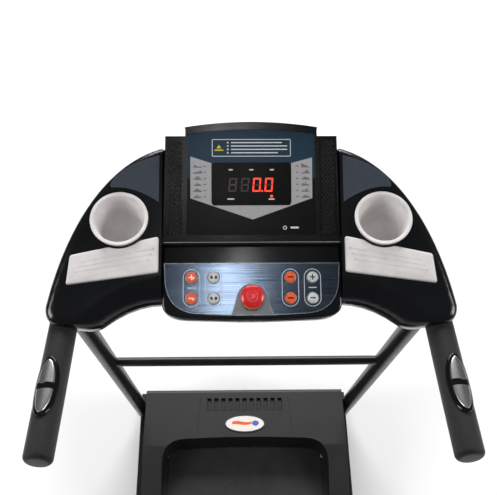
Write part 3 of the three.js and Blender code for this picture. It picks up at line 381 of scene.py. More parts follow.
# ---- Foam grips and pulse sensors ----------------------------------------------------------------
# Closed-cell NBR foam sleeves, pushed over the handlebars: a satin skin with fine open pores. A
# pulse sensor is clamped round the middle of each.
foam, tree, shader, place = finish("nbr_foam", 0.72, IOR=1.45)
mottled(tree, shader, place, "#0a0a0b", "#131314", 8)
pores = add_node(tree, "ShaderNodeTexVoronoi", {"Scale": 1000 / 1.6}, {"Vector": place})
grained(tree, shader, pores.outputs["Distance"], 0.12)
shader.inputs["Sheen Weight"].default_value = 0.25
shader.inputs["Sheen Roughness"].default_value = 0.4


def closed_mesh(name, work):
    """The work as a mesh, with its faces turned outward."""
    bmesh.ops.recalc_face_normals(work, faces=work.faces)
    mesh = bpy.data.meshes.new(name)
    work.to_mesh(mesh)
    work.free()
    return mesh


def turned(name, profile, matrix, segments=48):
    """A closed mesh turned round the matrix's Z axis from (radius, height) points, mm."""
    work = bmesh.new()
    rings = []
    for radius, height in profile:
        if radius < 1e-6:
            rings.append([work.verts.new(matrix @ Vector((0, 0, height / 1000)))])
            continue
        ring = []
        for k in range(segments):
            a = 2 * math.pi * k / segments
            spot = Vector((radius * math.cos(a) / 1000, radius * math.sin(a) / 1000, height / 1000))
            ring.append(work.verts.new(matrix @ spot))
        rings.append(ring)
    for lower, upper in zip(rings, rings[1:]):
        for k in range(segments):
            n = (k + 1) % segments
            if len(lower) == 1 and len(upper) == 1:
                break
            if len(lower) == 1:
                work.faces.new((lower[0], upper[n], upper[k]))
            elif len(upper) == 1:
                work.faces.new((lower[k], lower[n], upper[0]))
            else:
                work.faces.new((lower[k], lower[n], upper[n], upper[k]))
    mesh = closed_mesh(name, work)
    smooth(mesh, 38)
    return mesh


def rounded_corner(radius, height, r, steps):
    """The quarter-round points of a turned edge, from the side up to the top."""
    return [(radius - r + r * math.cos(a), height - r + r * math.sin(a))
            for a in (math.pi / 2 * k / steps for k in range(steps + 1))]


GRIP_RADIUS = 23.5
SLEEVE_START = 18.5
SLEEVE_SWELL = 0.25
SLEEVE_DOME = 9


def grip_frame(side):
    """The handlebar's own frame: Z runs along it from its start."""
    way = grip_way(side)
    turn = Vector((0, 0, 1)).rotation_difference(way).to_matrix().to_4x4()
    return Matrix.Translation(grip_start(side)) @ turn


for word, side in SIDES.items():
    # A sleeve that swells a little in the middle, with a rolled lip and a domed end.
    length = GRIP_LENGTH * 1000
    profile = [(0, SLEEVE_START), (19.2, SLEEVE_START), (22.0, SLEEVE_START), (23.0, 19.6),
               (GRIP_RADIUS, 22)]
    for k in range(1, 12):
        along = 22 + (length - 22) * k / 12
        profile.append((GRIP_RADIUS + SLEEVE_SWELL * math.sin(math.pi * k / 12), along))
    profile += rounded_corner(GRIP_RADIUS, length + 9.5, SLEEVE_DOME, 7)
    profile.append((0, length + 9.7))
    sleeve = piece(f"foam_sleeve_{word}", turned(f"foam_sleeve_{word}", profile, grip_frame(side)),
                   foam, "base", "foam", f"grip_{word}")

# The sensor is an oval gloss saddle on each grip, with two brushed steel plates let into it.
sensor_abs = moulded_black("sensor_abs", "#060607", "#0b0b0c", 1.0, 0.01, 0.12, 0.2)


def streaked(tree, shader, place, lines_per_mm, detail, dark, light, start, depth_mm):
    """Lines along one axis, in colour and as bump; a millimetre holds so many on X, Y and Z."""
    drawn = add_node(tree, "ShaderNodeMapping", {"Scale": [1000 * n for n in lines_per_mm]},
                     {"Vector": place})
    lines = add_node(tree, "ShaderNodeTexNoise", {"Scale": 1.0, "Detail": detail},
                     {"Vector": drawn.outputs["Vector"]})
    tone = add_node(tree, "ShaderNodeValToRGB", {}, {"Fac": lines.outputs["Fac"]})
    tone.color_ramp.elements[0].position = start
    tone.color_ramp.elements[0].color = linear(dark)
    tone.color_ramp.elements[1].position = 1 - start
    tone.color_ramp.elements[1].color = linear(light)
    tree.links.new(tone.outputs["Color"], shader.inputs["Base Color"])
    grained(tree, shader, lines.outputs["Fac"], depth_mm)


# Stainless steel, brushed along the grip, so that each plate holds one soft streak of light.
brushed_steel, tree, shader, place = finish("brushed_steel_plate", 0.3, 1.0)
streaked(tree, shader, place, (2.5, 0.12, 2.5), 2.0, "#9a9ca0", "#cfd0d3", 0.3, 0.02)

SENSOR_MIDDLE = 154
SENSOR_HALF_LENGTH = 52
SENSOR_HALF_WIDTH = 21
SENSOR_TURN = math.radians(-8)


SADDLE_ROWS = 18
SADDLE_COLUMNS = 16
SADDLE_EDGE = 1.2


def saddle(name, side, from_angle, to_angle, half_length, half_width, under, over, crown):
    """A strip of an oval, wrapped on the grip between two radii, along its axis."""
    rows, columns = SADDLE_ROWS, SADDLE_COLUMNS
    matrix = grip_frame(side) @ Matrix.Rotation(side * SENSOR_TURN, 4, "Z")
    work = bmesh.new()
    grids = []
    for radius, edge in ((under, 0.0), (over, SADDLE_EDGE)):
        grid = []
        for i in range(rows + 1):
            t = from_angle + (to_angle - from_angle) * i / rows
            along = SENSOR_MIDDLE + half_length * math.sin(t)
            half = half_width * max(math.cos(t), 0.04)
            row = []
            for j in range(columns + 1):
                v = -1 + 2 * j / columns
                drop = edge * max(0.0, (abs(v) - 0.75) / 0.25) ** 2
                rise = crown * (1 - v * v)
                r = radius - drop + (rise if edge else 0)
                a = half * v / under
                spot = Vector((r * math.sin(a), r * math.cos(a), along)) / 1000
                row.append(work.verts.new(matrix @ spot))
            grid.append(row)
        grids.append(grid)
    low, high = grids
    for i in range(rows):
        for j in range(columns):
            work.faces.new((low[i][j], low[i][j + 1], low[i + 1][j + 1], low[i + 1][j]))
            work.faces.new((high[i][j], high[i + 1][j], high[i + 1][j + 1], high[i][j + 1]))
    for i in range(rows):
        work.faces.new((low[i][0], low[i + 1][0], high[i + 1][0], high[i][0]))
        work.faces.new((low[i][-1], high[i][-1], high[i + 1][-1], low[i + 1][-1]))
    for j in range(columns):
        work.faces.new((low[0][j], high[0][j], high[0][j + 1], low[0][j + 1]))
        work.faces.new((low[-1][j], low[-1][j + 1], high[-1][j + 1], high[-1][j]))
    mesh = closed_mesh(name, work)
    smooth(mesh, 50)
    return mesh


END = math.pi / 2
HALF_GAP = 0.12  # between the two plates, as an angle of the oval
PLATE_MARGIN = 6
for word, side in SIDES.items():
    name = f"sensor_saddle_{word}"
    piece(name, saddle(name, side, -END, END, SENSOR_HALF_LENGTH, SENSOR_HALF_WIDTH,
                       GRIP_RADIUS + 0.3, GRIP_RADIUS + 3.4, 0.3),
          sensor_abs, "base", "sensor_plastic", f"pulse_housing_{word}")
    for end, start, stop in (("front", -END, -HALF_GAP), ("rear", HALF_GAP, END)):
        name = f"pulse_plate_{word}_{end}"
        piece(name, saddle(name, side, start, stop, SENSOR_HALF_LENGTH - PLATE_MARGIN,
                           SENSOR_HALF_WIDTH - PLATE_MARGIN, GRIP_RADIUS + 3.2, GRIP_RADIUS + 4.6, 0.9),
              brushed_steel, "base", "steel")

# ---- Console top shell: two wings and a lower middle ---------------------------------------------
# The wings and the middle are one ABS moulding. A wide rolled rim runs round each wing, and from a
# ridge in front of the white pad the wing slopes down to its lower edge.
MM = 0.001  # outlines are in mm, and places in the frame stay in metres


def curve_points(start, *arcs, steps=14):
    """Corners along a run of quadratic or cubic curves; each arc is its controls and end point."""
    corners = [start]
    for *controls, end in arcs:
        knots = [start, *controls, end]
        for k in range(1, steps + 1):
            t = k / steps
            level = [Vector(p) for p in knots]
            while len(level) > 1:
                level = [a.lerp(b, t) for a, b in zip(level, level[1:])]
            corners.append(tuple(level[0]))
        start = end
    return corners


def inset_run(corners, by):
    """The same closed run, moved inward by that much; sharp corners are held back a little."""
    moved = []
    count = len(corners)
    for k in range(count):
        before, corner, after = (Vector(corners[(k + step) % count]) for step in (-1, 0, 1))
        way_in = (corner - before).normalized()
        way_out = (after - corner).normalized()
        normal = Vector((-way_in.y - way_out.y, way_in.x + way_out.x))
        normal /= max(normal.length_squared / 2, 0.6)
        moved.append(tuple(corner + normal * by))
    return moved


def lofted(work, rings):
    """Walls from each ring of corners to the next, closed at the first and the last."""
    for low, high in zip(rings, rings[1:]):
        for k in range(len(low)):
            n = (k + 1) % len(low)
            work.faces.new((low[k], low[n], high[n], high[k]))
    work.faces.new(rings[0][::-1])
    work.faces.new(rings[-1])


WING_GRID = 8  # mm; the wing's faces are cut this fine, so that they can bend


def slab(corners, levels, matrix, shape=None, keep=None):
    """A closed slab from a run of corners, through (inset, height) levels, shaped by a function."""
    work = bmesh.new()
    lofted(work, [[work.verts.new((x, y, height)) for x, y in inset_run(corners, inset)]
                  for inset, height in levels])
    if keep is not None:
        everything = work.verts[:] + work.edges[:] + work.faces[:]
        cut = bmesh.ops.bisect_plane(work, geom=everything, plane_co=(keep, 0, 0),
                                     plane_no=(1, 0, 0), clear_inner=keep > 0,
                                     clear_outer=keep < 0)
        rim = [e for e in cut["geom_cut"] if isinstance(e, bmesh.types.BMEdge)]
        bmesh.ops.edgenet_fill(work, edges=rim)
    if shape is not None:
        xs = [v.co.x for v in work.verts]
        ys = [v.co.y for v in work.verts]
        for axis, low, high in ((0, min(xs), max(xs)), (1, min(ys), max(ys))):
            normal = Vector((axis == 0, axis == 1, 0))
            spot = low + WING_GRID
            while spot < high:
                everything = work.verts[:] + work.edges[:] + work.faces[:]
                bmesh.ops.bisect_plane(work, geom=everything, plane_co=normal * spot, plane_no=normal)
                spot += WING_GRID
        for vert in work.verts:
            vert.co.z = shape(vert.co.x, vert.co.y, vert.co.z)
    mesh = closed_mesh("slab", work)
    mesh.transform(matrix @ Matrix.Scale(MM, 4))
    smooth(mesh, 38)
    return mesh


# The ridge's line over the wing, from the middle outward.
RIDGE = ((120, -74), (157, -78), (213, -93.5), (250, -114), (284, -144), (320, -190))


def ridge_at(x):
    """How far down the slope the ridge runs at that distance from the middle."""
    x = abs(x)
    for (x0, y0), (x1, y1) in zip(RIDGE, RIDGE[1:]):
        if x <= x1:
            return y0 + (y1 - y0) * (x - x0) / (x1 - x0)
    return RIDGE[-1][1]


FRONT_SLOPE = 0.5
RIDGE_ROUND = 6
DEEPEST_FALL = 19.5
WALL_FOOT = -20  # what is lower than this keeps its height


def wing_shape(x, y, height):
    """The top falls away in front of the ridge, and the rim's wall shortens with it."""
    past = ridge_at(x) - y
    if past <= 0 or height < WALL_FOOT:
        return height
    fall = FRONT_SLOPE * (math.sqrt(past ** 2 + RIDGE_ROUND ** 2) - RIDGE_ROUND)
    return height - min(fall, DEEPEST_FALL)


# The rim is a rolled edge, from the wall's foot up to the flat top.
wing_levels = ((0, -34.2), (0, -13.5), (0.5, -10.4), (1.6, -7.4), (3.4, -4.8), (5.8, -2.7),
               (8.8, -1.2), (12.2, -0.4), (16, 0))
right_wing = curve_points((120, -122), ((152, -122), (152, -122)),
                          ((202, -122), (251, -159)), ((261, -164.6), (275, -165)), steps=12)
right_wing += curve_points((315, -161), ((345, -159), (344, -129)), steps=8)
right_wing += curve_points((344, -129), ((317, 2), (253, 118), (156, 146)), steps=40)[1:]
right_wing += [(120, 149)]
CUP_TILT = math.radians(11)
CUP_X = 0.223
CUP_Y = CONSOLE_Y + 0.015
CUP_RIM_Z = 1.179
CUP_HOLE = [(0, -90), (43.5, -90), (46.2, -4), (50.3, -3.9), (50.6, 40), (0, 40)]
WING_INNER = 151.8


def cup_frame(side):
    """A cup holder's axis: the origin is at its rim."""
    return Matrix.Translation((side * CUP_X, CUP_Y, CUP_RIM_Z)) @ Matrix.Rotation(CUP_TILT, 4, "X")


for word, side in SIDES.items():
    run = right_wing if side > 0 else [(-x, y) for x, y in reversed(right_wing)]
    mesh = slab(run, wing_levels, panel, wing_shape, keep=side * WING_INNER)
    nodes = ("console_upper_shell",) if side > 0 else ()
    wing = piece(f"wing_{word}", mesh, gloss_abs, "base", "console_plastic", *nodes)
    tool = bpy.data.objects.new("hole", turned("hole", CUP_HOLE, cup_frame(side), 72))
    bpy.context.collection.objects.link(tool)
    cut = wing.modifiers.new("cup_hole", "BOOLEAN")
    cut.object = tool
    cut.solver = "EXACT"
    settled(wing)
    bpy.data.objects.remove(tool)
    smooth(wing.data, 38)
    even = wing.modifiers.new("flat_faces", "WEIGHTED_NORMAL")
    even.keep_sharp = True

# The middle lies lower, under the display and the control plate.
centre = curve_points((-112, -148), ((0, -154), (112, -148)), ((152, -146), (152, -122)), steps=14)
centre += [(152, 148), (-152, 148)]
centre += curve_points((-152, -122), ((-152, -146), (-112, -148)), steps=14)[:-1]
centre_levels = ((0, -34.2), (0, -23), (0.4, -21), (1.4, -19.3), (3, -18.3), (5, -18))
piece("console_middle", slab(centre, centre_levels, panel), gloss_abs, "base", "console_plastic")

# Between the display and each cup a lighter, speckled sheet lies on the wing: a painted highlight, standing in for
# the light that the grained plastic catches there.
highlight_sheet_abs = moulded_black("painted_highlight_abs", "#1d232b", "#39424e", 1.1, 0.12, 0.42, 0.6)
HIGHLIGHT_SHEET_RISE = 0.35
highlight_outline = curve_points((157, 48), ((200, 78), (238, 74)), ((243, 80), (232, 93)),
                     ((206, 120), (157, 131)), steps=10)
# Each wing gets its sheet of painted highlight, a hair above its face.
for word, side in SIDES.items():
    corners = [panel @ (Vector((side * x, y, HIGHLIGHT_SHEET_RISE)) * MM) for x, y in highlight_outline]
    sheet = bpy.data.meshes.new(f"wing_painted_highlight_{word}")
    sheet.from_pydata(corners[::side], [], [list(range(len(corners)))])
    piece(f"wing_painted_highlight_{word}", sheet, highlight_sheet_abs, "base", "console_plastic")

# ---- Cup holders and pads: white ABS -------------------------------------------------------------
# Each cup holder is a deep moulded cup that drops through a hole in its wing and hangs by its lip.
# Warm white ABS with a satin spark finish, which holds faint grey smudges from hands.
white_abs, tree, shader, place = finish("white_abs", 0.42, IOR=1.5)
mottled(tree, shader, place, "#d6d2d1", "#e2dfde", 25)
worn(tree, shader, place, 0.36, 0.5, 30)
spark = add_node(tree, "ShaderNodeTexNoise", {"Scale": 1000 / 0.8, "Detail": 2.0}, {"Vector": place})
grained(tree, shader, spark.outputs["Fac"], 0.03)
shader.inputs["Subsurface Weight"].default_value = 0.05
shader.inputs["Subsurface Radius"].default_value = (0.004, 0.004, 0.004)

cup_outside = [(0, -69), (34, -69), (37.5, -67.5), (39, -64), (45, -5), (46.5, -4.2), (47.6, -3.6)]
cup_lip = [(48.2 + 0.8 * math.cos(a), -2.2 + 2.2 * math.sin(a))
           for a in (math.radians(degrees) for degrees in (-40, 0, 30, 60, 90))]
cup_inside = [(45.5, -0.1), (43.6, -0.6), (42.4, -2.2), (42, -5), (35.2, -58), (33.5, -62.5),
              (30.5, -65.2), (27, -66), (0, -66)]
for word, side in SIDES.items():
    name = f"cup_holder_{word}"
    piece(name, turned(name, cup_outside + cup_lip + cup_inside, cup_frame(side), 64),
          white_abs, "base", "white_plastic", f"cup_{word}")

# ---- Display: printed film, smoked lens and lit digits -------------------------------------------
# A polyester film is glued into the housing's recess. It is printed navy above and black below,
# round a smoked acrylic window with the digits of an LED module behind it.


def printed(name, shapes, matrix, height_mm, material, slot, thick_mm=0.12, body="base"):
    """Thin raised shapes on a face: each is a closed run of (x, y) corners, mm."""
    work = bmesh.new()
    for corners in shapes:
        lofted(work, [[work.verts.new(matrix @ (Vector((x, y, height)) * MM)) for x, y in corners]
                      for height in (height_mm, height_mm + thick_mm)])
    return piece(name, closed_mesh(name, work), material, body, slot)


def pill(x0, x1, y0, y1, r, steps=8):
    """The corners of a rectangle with rounded ends."""
    corners = []
    for cx, cy, start in ((x1 - r, y0 + r, -90), (x1 - r, y1 - r, 0), (x0 + r, y1 - r, 90),
                          (x0 + r, y0 + r, 180)):
        for k in range(steps + 1):
            a = math.radians(start + 90 * k / steps)
            corners.append((cx + r * math.cos(a), cy + r * math.sin(a)))
    return corners


def ring_bands(outer, inner):
    """A closed band between two runs of as many corners, as four-cornered shapes."""
    count = len(outer)
    return [(outer[k], outer[(k + 1) % count], inner[(k + 1) % count], inner[k])
            for k in range(count)]


def oval(x, y, across, up, steps):
    """The corners of an oval from its middle and its half widths."""
    turns = [2 * math.pi * k / steps for k in range(steps)]
    return [(x + across * math.cos(a), y + up * math.sin(a)) for a in turns]


def disc(x, y, r, steps=20):
    """The corners of a round dot."""
    return oval(x, y, r, r, steps)


def ink(name, colour, fade, roughness=0.45):
    """Screen-printed ink, a little uneven where the squeegee passed."""
    material, tree, shader, place = finish(name, roughness)
    mottled(tree, shader, place, fade, colour, 4)
    worn(tree, shader, place, roughness - 0.06, roughness + 0.06, 15)
    return material


# The film is black up to the middle of the digits and navy above, and takes a soft broad sheen.
FILM_SPLIT = 0.1035
FILM_TOP = 0.19
printed_film, tree, shader, place = finish("printed_polyester_film", 0.3, Specular_IOR_Level=0.2)
to_display = add_node(tree, "ShaderNodeMapping",
                      {"vector_type": "TEXTURE", "Location": tuple(display.translation),
                       "Rotation": (DISPLAY_TILT, 0, 0)}, {"Vector": place})
parts = add_node(tree, "ShaderNodeSeparateXYZ", {}, {0: to_display.outputs["Vector"]})
up_film = add_node(tree, "ShaderNodeMapRange", {"From Min": FILM_SPLIT, "From Max": FILM_TOP},
                   {"Value": parts.outputs["Y"]})
navy = add_node(tree, "ShaderNodeValToRGB", {}, {"Fac": up_film.outputs["Result"]})
navy.color_ramp.elements[0].color = linear("#22384a")
navy.color_ramp.elements[1].color = linear("#1d3241")
above_split = add_node(tree, "ShaderNodeMath", {"operation": "GREATER_THAN", 1: FILM_SPLIT},
                       {0: parts.outputs["Y"]})
film_mix = add_node(tree, "ShaderNodeMix", {"data_type": "RGBA", 6: linear("#08090b")},
                    {0: above_split.outputs[0], 7: navy.outputs["Color"]})
tree.links.new(film_mix.outputs[2], shader.inputs["Base Color"])
worn(tree, shader, place, 0.26, 0.36, 40)
ripple = add_node(tree, "ShaderNodeTexNoise", {"Scale": 1000 / 18, "Detail": 1.0}, {"Vector": place})
grained(tree, shader, ripple.outputs["Fac"], 0.1)

# Cast acrylic, so dark that only the lit segments show through it.
smoked_acrylic, tree, shader, place = finish("smoked_acrylic", 0.3, Specular_IOR_Level=0.12)
mottled(tree, shader, place, "#070707", "#0a0909", 20)
worn(tree, shader, place, 0.26, 0.34, 30)

# Opaque screen inks, a shade apart where the film takes them unevenly.
silver_ink = ink("silver_grey_ink", "#a9a7a9", "#a09ea0")
grey_ink = ink("dark_grey_ink", "#6f6d70", "#666468")
white_ink = ink("white_ink", "#d8dde0", "#c9ced2")
yellow_ink = ink("yellow_ink", "#e3d02a", "#cdbb20")

# The housing's glossy brow covers the top of the film.
brow = curve_points((-113.2, 190.2), ((0, 208.6), (113.2, 190.2)), steps=20)
brow += curve_points((110.4, 178.6), ((0, 195), (-110.4, 178.6)), steps=20)
printed("display_brow", [brow[::-1]], display, 0.0, gloss_abs, "console_plastic", 2.2)
# Two silver fields beside the window and a broad chevron below it.
LENS_X = 68
film_inlay = (
    [(-103.7, 140.5), (-LENS_X, 129), (-LENS_X, 62), (-103.7, 69)],
    [(103.7, 69), (LENS_X, 62), (LENS_X, 129), (103.7, 138.5)],
    [(-103.7, 69), (-LENS_X, 62), (-LENS_X + 3, 56.6), (LENS_X - 3, 56.6), (LENS_X, 62),
     (103.7, 69), (3.5, 33.2), (0.5, 33.2)],
)
printed("chevron_print", film_inlay, display, 0.02, silver_ink, "display_film")
# The caution box holds four plain lines and a generic warning triangle.
caution_outer = pill(-67, 67.5, 140.3, 170.2, 2.2)
caution_inner = pill(-65.8, 66.3, 141.5, 169.0, 1.4)
white_marks = ring_bands(caution_outer, caution_inner)
LINE_PITCH = 5.8
for row, width in enumerate((87, 96, 96, 80)):
    y = 164.2 - row * LINE_PITCH
    white_marks.append(disc(-40, y, 1.5, 12))
    white_marks.append(pill(-34.5, -34.5 + width, y - 0.9, y + 0.9, 0.8, 3))
printed("caution_frame_print", white_marks, display, 0.02, white_ink, "display_film")
printed("caution_mark_print", [[(-59, 154.5), (-51, 154.5), (-55, 160.5)],
                               pill(-62.5, -47.5, 150.3, 152.3, 0.8, 3)],
        display, 0.02, yellow_ink, "display_film")

# Twelve little height charts, six a side, each with a dash beside it.
charts = ((3, 5, 3, 2, 2, 2, 2), (2, 2, 3, 3, 4, 5, 5), (1, 3, 6, 4, 6, 3, 1), (1, 2, 4, 5, 3, 3, 1),
          (2, 4, 5, 6, 4, 4, 2), (1, 4, 3, 6, 2, 3, 1), (7, 6, 5, 4, 3, 2, 1), (1, 2, 3, 4, 7, 5, 2),
          (2, 3, 5, 4, 4, 3, 2), (2, 5, 3, 6, 2, 3, 1), (1, 3, 2, 4, 6, 2, 1), (1, 3, 4, 5, 4, 3, 2))
CHART_PITCH = 10.4
BAR = 2.1
bars = []
for index, heights in enumerate(charts):
    foot = 121.4 - (index % 6) * CHART_PITCH
    start, dash = (-99, -81.5) if index < 6 else (85, 75.5)
    for k, tall in enumerate(heights):
        x = start + k * BAR
        bars.append([(x, foot), (x + BAR, foot), (x + BAR, foot + tall), (x, foot + tall)])
    bars.append(pill(dash, dash + 5, foot + 1.4, foot + 3.2, 0.7, 3))
printed("chart_print", bars, display, 0.16, grey_ink, "display_film", 0.08)

# A socket mark and a short dash at the lower right.
socket = ring_bands(disc(56.5, 18.5, 3.4), disc(56.5, 18.5, 2.1))
socket += [pill(66, 80, 17.1, 20.3, 1.2, 4)]
printed("socket_print", socket, display, 0.02, white_ink, "display_film")

# Seven-segment digits show through the window: two unlit, then a lit zero, a point and a zero.
lit_red, tree, shader, place = finish("lit_led_segment", 0.4)
glow = add_node(tree, "ShaderNodeTexNoise", {"Scale": 1000 / 3, "Detail": 1.0}, {"Vector": place})
heat = add_node(tree, "ShaderNodeValToRGB", {}, {"Fac": glow.outputs["Fac"]})
heat.color_ramp.elements[0].color = linear("#f02a1c")
heat.color_ramp.elements[1].color = linear("#ff4a33")
tree.links.new(heat.outputs["Color"], shader.inputs["Base Color"])
tree.links.new(heat.outputs["Color"], shader.inputs["Emission Color"])
shader.inputs["Emission Strength"].default_value = 1.3
unlit_red = ink("unlit_led_segment", "#2b120c", "#23100b", 0.3)

LENS_FACE = 0.42
DIGIT_W = 13.5
DIGIT_H = 23.5
STROKE = 2.5
LEAN = 0.08
SEGMENT_GAP = 0.35


def segments(x, y, which):
    """The chosen bars of a leaning seven-segment digit whose lower left corner is there."""
    w, h, t = DIGIT_W, DIGIT_H, STROKE
    m = h / 2
    g = SEGMENT_GAP
    spots = {
        "a": [(g, h), (w - g, h), (w - t, h - t), (t, h - t)],
        "d": [(g, 0), (t, t), (w - t, t), (w - g, 0)],
        "g": [(t * 0.6, m), (t, m + t / 2), (w - t, m + t / 2), (w - t * 0.6, m),
              (w - t, m - t / 2), (t, m - t / 2)],
        "f": [(0, h - g), (t, h - t - g), (t, m + t / 2 + g), (0, m + g)],
        "e": [(0, g), (0, m - g), (t, m - t / 2 - g), (t, t + g)],
        "b": [(w, h - g), (w, m + g), (w - t, m + t / 2 + g), (w - t, h - t - g)],
        "c": [(w, g), (w - t, t + g), (w - t, m - t / 2 - g), (w, m - g)],
    }
    return [[(x + px + py * LEAN, y + py) for px, py in spots[s]] for s in which]


DIGIT_FOOT = 80
unlit = []
lit = []
for x, dark_bars, lit_bars in ((-39.5, "abcdefg", ""), (-18.5, "abcdefg", ""),
                               (1.5, "g", "abcdef"), (22.0, "g", "abcdef")):
    unlit += segments(x, DIGIT_FOOT, dark_bars)
    lit += segments(x, DIGIT_FOOT, lit_bars)
lit += [disc(18.2, DIGIT_FOOT + 1.2, 1.5), disc(34.3, 72.3, 2.4)]
printed("unlit_segments", unlit, display, LENS_FACE, unlit_red, "display_lens", 0.05)
printed("lit_segments", lit, display, LENS_FACE, lit_red, "display_lens", 0.07)
lens_dashes = [pill(x - 3.6, x + 3.6, 116.4, 118.6, 1.0, 3) for x in (-35, 0, 35)]
lens_dashes += [pill(-41, -29, 66.5, 68.7, 1.0, 3), pill(29, 39.5, 66.2, 68.4, 1.0, 3)]
printed("window_marks", lens_dashes, display, LENS_FACE, white_ink, "display_lens", 0.05)

# ---- Control plate: dark brushed aluminium -------------------------------------------------------
# A thin aluminium plate, brushed along its length, anodised blue-black and glued to the console.
# White racetracks are printed round each pair of buttons.
dark_aluminium, tree, shader, place = finish("brushed_black_aluminium", 0.17, 1.0)
streaked(tree, shader, place, (0.01, 1.1, 1.1), 3.0, "#4a5665", "#76859a", 0.35, 0.012)
worn(tree, shader, place, 0.15, 0.21, 50)

PLATE_TOP = -15.2  # the plate's face in the panel frame
BUTTON_COLUMNS = (-102, -64.5, 64.5, 102)
BUTTON_ROWS = (-79, -114.5)
RACE_HALF = 14.4
RACE_LINE = 1.1


def racetrack(x, half):
    """The outline round a column's two buttons."""
    return pill(x - half, x + half, BUTTON_ROWS[1] - half, BUTTON_ROWS[0] + half, half - 0.01, 12)


tracks = []
for x in BUTTON_COLUMNS:
    tracks += ring_bands(racetrack(x, RACE_HALF), racetrack(x, RACE_HALF - RACE_LINE))
    if abs(x) == max(BUTTON_COLUMNS):
        tracks.append(pill(x - 7, x + 7, -97.6, -95.9, 0.8, 3))
plate_ink = ink("plate_ink", "#cfd6dc", "#bcc4cb", 0.4)
printed("racetrack_print", tracks, panel, PLATE_TOP + 0.02, plate_ink, "control_aluminium")

# A narrow bright chamfer runs round the plate where the aluminium is bare.
chamfer, tree, shader, place = finish("bare_aluminium_edge", 0.3, 1.0)
mottled(tree, shader, place, "#8f949b", "#aeb3ba", 6)
worn(tree, shader, place, 0.24, 0.4, 12)

plate_edge = curve_points((-147, -88), ((-142, -134), (-98, -140)), ((0, -147), (98, -140)),
                          ((142, -134), (147, -88)))
plate_edge += [(148.8, -54.2), (-148.8, -54.2)]
edge_strip = ring_bands(inset_run(plate_edge, 0.2), inset_run(plate_edge, 1.5))
printed("plate_edge_strip", edge_strip, panel, PLATE_TOP + 0.01, chamfer, "control_aluminium", 0.1)

# ---- Push buttons --------------------------------------------------------------------------------
# Domed ABS caps in orange and silver-grey, each in a turned aluminium ring that moves with it. The
# outer ones are printed with a plus above and a minus below, the inner ones with plain bars.
orange_abs, tree, shader, place = finish("orange_abs", 0.34, IOR=1.5)
mottled(tree, shader, place, "#e8501c", "#f4612a", 5)
worn(tree, shader, place, 0.26, 0.42, 8)
# The silver caps are painted, which gives them a faint metallic fleck.
silver_abs, tree, shader, place = finish("silver_paint_on_abs", 0.36, 0.15)
mottled(tree, shader, place, "#c2c3c5", "#dedfe0", 4)
worn(tree, shader, place, 0.28, 0.44, 8)
# Inks for the signs: black on silver, white on orange.
black_ink = ink("black_ink", "#17181a", "#101113")
print_white = ink("button_white_ink", "#f0ebe6", "#e2dcd6")

BUTTON_RADIUS = 10.5
cap_profile = [(0, -7), (BUTTON_RADIUS - 0.1, -7), (BUTTON_RADIUS - 0.1, 0.6),
               (BUTTON_RADIUS - 0.4, 1.2), (BUTTON_RADIUS - 1.6, 1.5), (BUTTON_RADIUS - 2.0, 1.5),
               (BUTTON_RADIUS - 2.4, 1.9)]
cap_profile += [(r, 2.5 - 0.6 * (r / 8.1) ** 2) for r in (7.4, 6, 4.5, 3, 1.5)] + [(0, 2.55)]
ring_profile = [(8.7, 1.3), (BUTTON_RADIUS - 0.3, 1.05), (BUTTON_RADIUS - 0.15, 1.3),
                (BUTTON_RADIUS - 0.6, 1.95), (9.0, 1.9), (8.7, 1.3)]
SIGN_HEIGHT = 2.35


def at_panel(x, y, height):
    """A place on the console's face, in mm, with Z out of the face."""
    return panel @ Matrix.Translation((x * MM, y * MM, height * MM))


for x, column in zip(BUTTON_COLUMNS, ("left_outer", "left_inner", "right_inner", "right_outer")):
    for y, row in zip(BUTTON_ROWS, ("upper", "lower")):
        node = f"button_{column}_{row}"
        spot = at_panel(x, y, PLATE_TOP)
        orange = column in ("left_outer", "right_inner")
        slot = "orange_plastic" if orange else "silver_plastic"
        cap = turned(f"cap_{column}_{row}", cap_profile, spot, 40)
        piece(f"cap_{column}_{row}", cap, orange_abs if orange else silver_abs, node, slot, node)
        ring = turned(f"ring_{column}_{row}", ring_profile, spot, 40)
        piece(f"ring_{column}_{row}", ring, chamfer, node, slot)
        if column in ("left_outer", "right_outer"):
            signs = [[(-4.8, -1.0), (4.8, -1.0), (4.8, 1.0), (-4.8, 1.0)]]
            if row == "upper":
                signs.append([(-1.0, 1.0), (1.0, 1.0), (1.0, 4.8), (-1.0, 4.8)])
                signs.append([(-1.0, -4.8), (1.0, -4.8), (1.0, -1.0), (-1.0, -1.0)])
            if orange:
                signs.append([(1.6, -4.4), (5.0, -2.2), (5.0, -0.9), (1.6, -0.9)])
        elif orange:
            signs = [pill(-5, 5, -1.3, 1.3, 0.9, 3)]
        else:
            signs = [pill(-5.6, -1.8, -2.6, 2.6, 1.2, 4), pill(1.8, 5.6, -2.6, 2.6, 1.2, 4)]
        printed(f"sign_{column}_{row}", signs, at_panel(x, y, PLATE_TOP + SIGN_HEIGHT), 0,
                print_white if column == "left_outer" else black_ink, slot, 0.24, node)

# ---- Stop button ---------------------------------------------------------------------------------
# A red moulded mushroom head on a sprung stem, which comes up through a yellow collar. The collar is
# screwed down over a plain brushed steel plate with a domed top.
red_abs, tree, shader, place = finish("red_abs", 0.26, IOR=1.5)
mottled(tree, shader, place, "#c91c22", "#dc2a2e", 7)
worn(tree, shader, place, 0.2, 0.36, 9)
shader.inputs["Coat Weight"].default_value = 0.3
# Yellow ABS, plain and satin.
yellow_abs, tree, shader, place = finish("yellow_abs", 0.4, IOR=1.5)
mottled(tree, shader, place, "#dcb714", "#edc928", 5)
# The stop plate is steel, brushed across: greyer and softer than its bare aluminium edge.
grey_steel, tree, shader, place = finish("brushed_grey_steel", 0.38, 1.0)
streaked(tree, shader, place, (0.02, 0.9, 0.9), 3.0, "#6c7075", "#9da1a6", 0.0, 0.02)

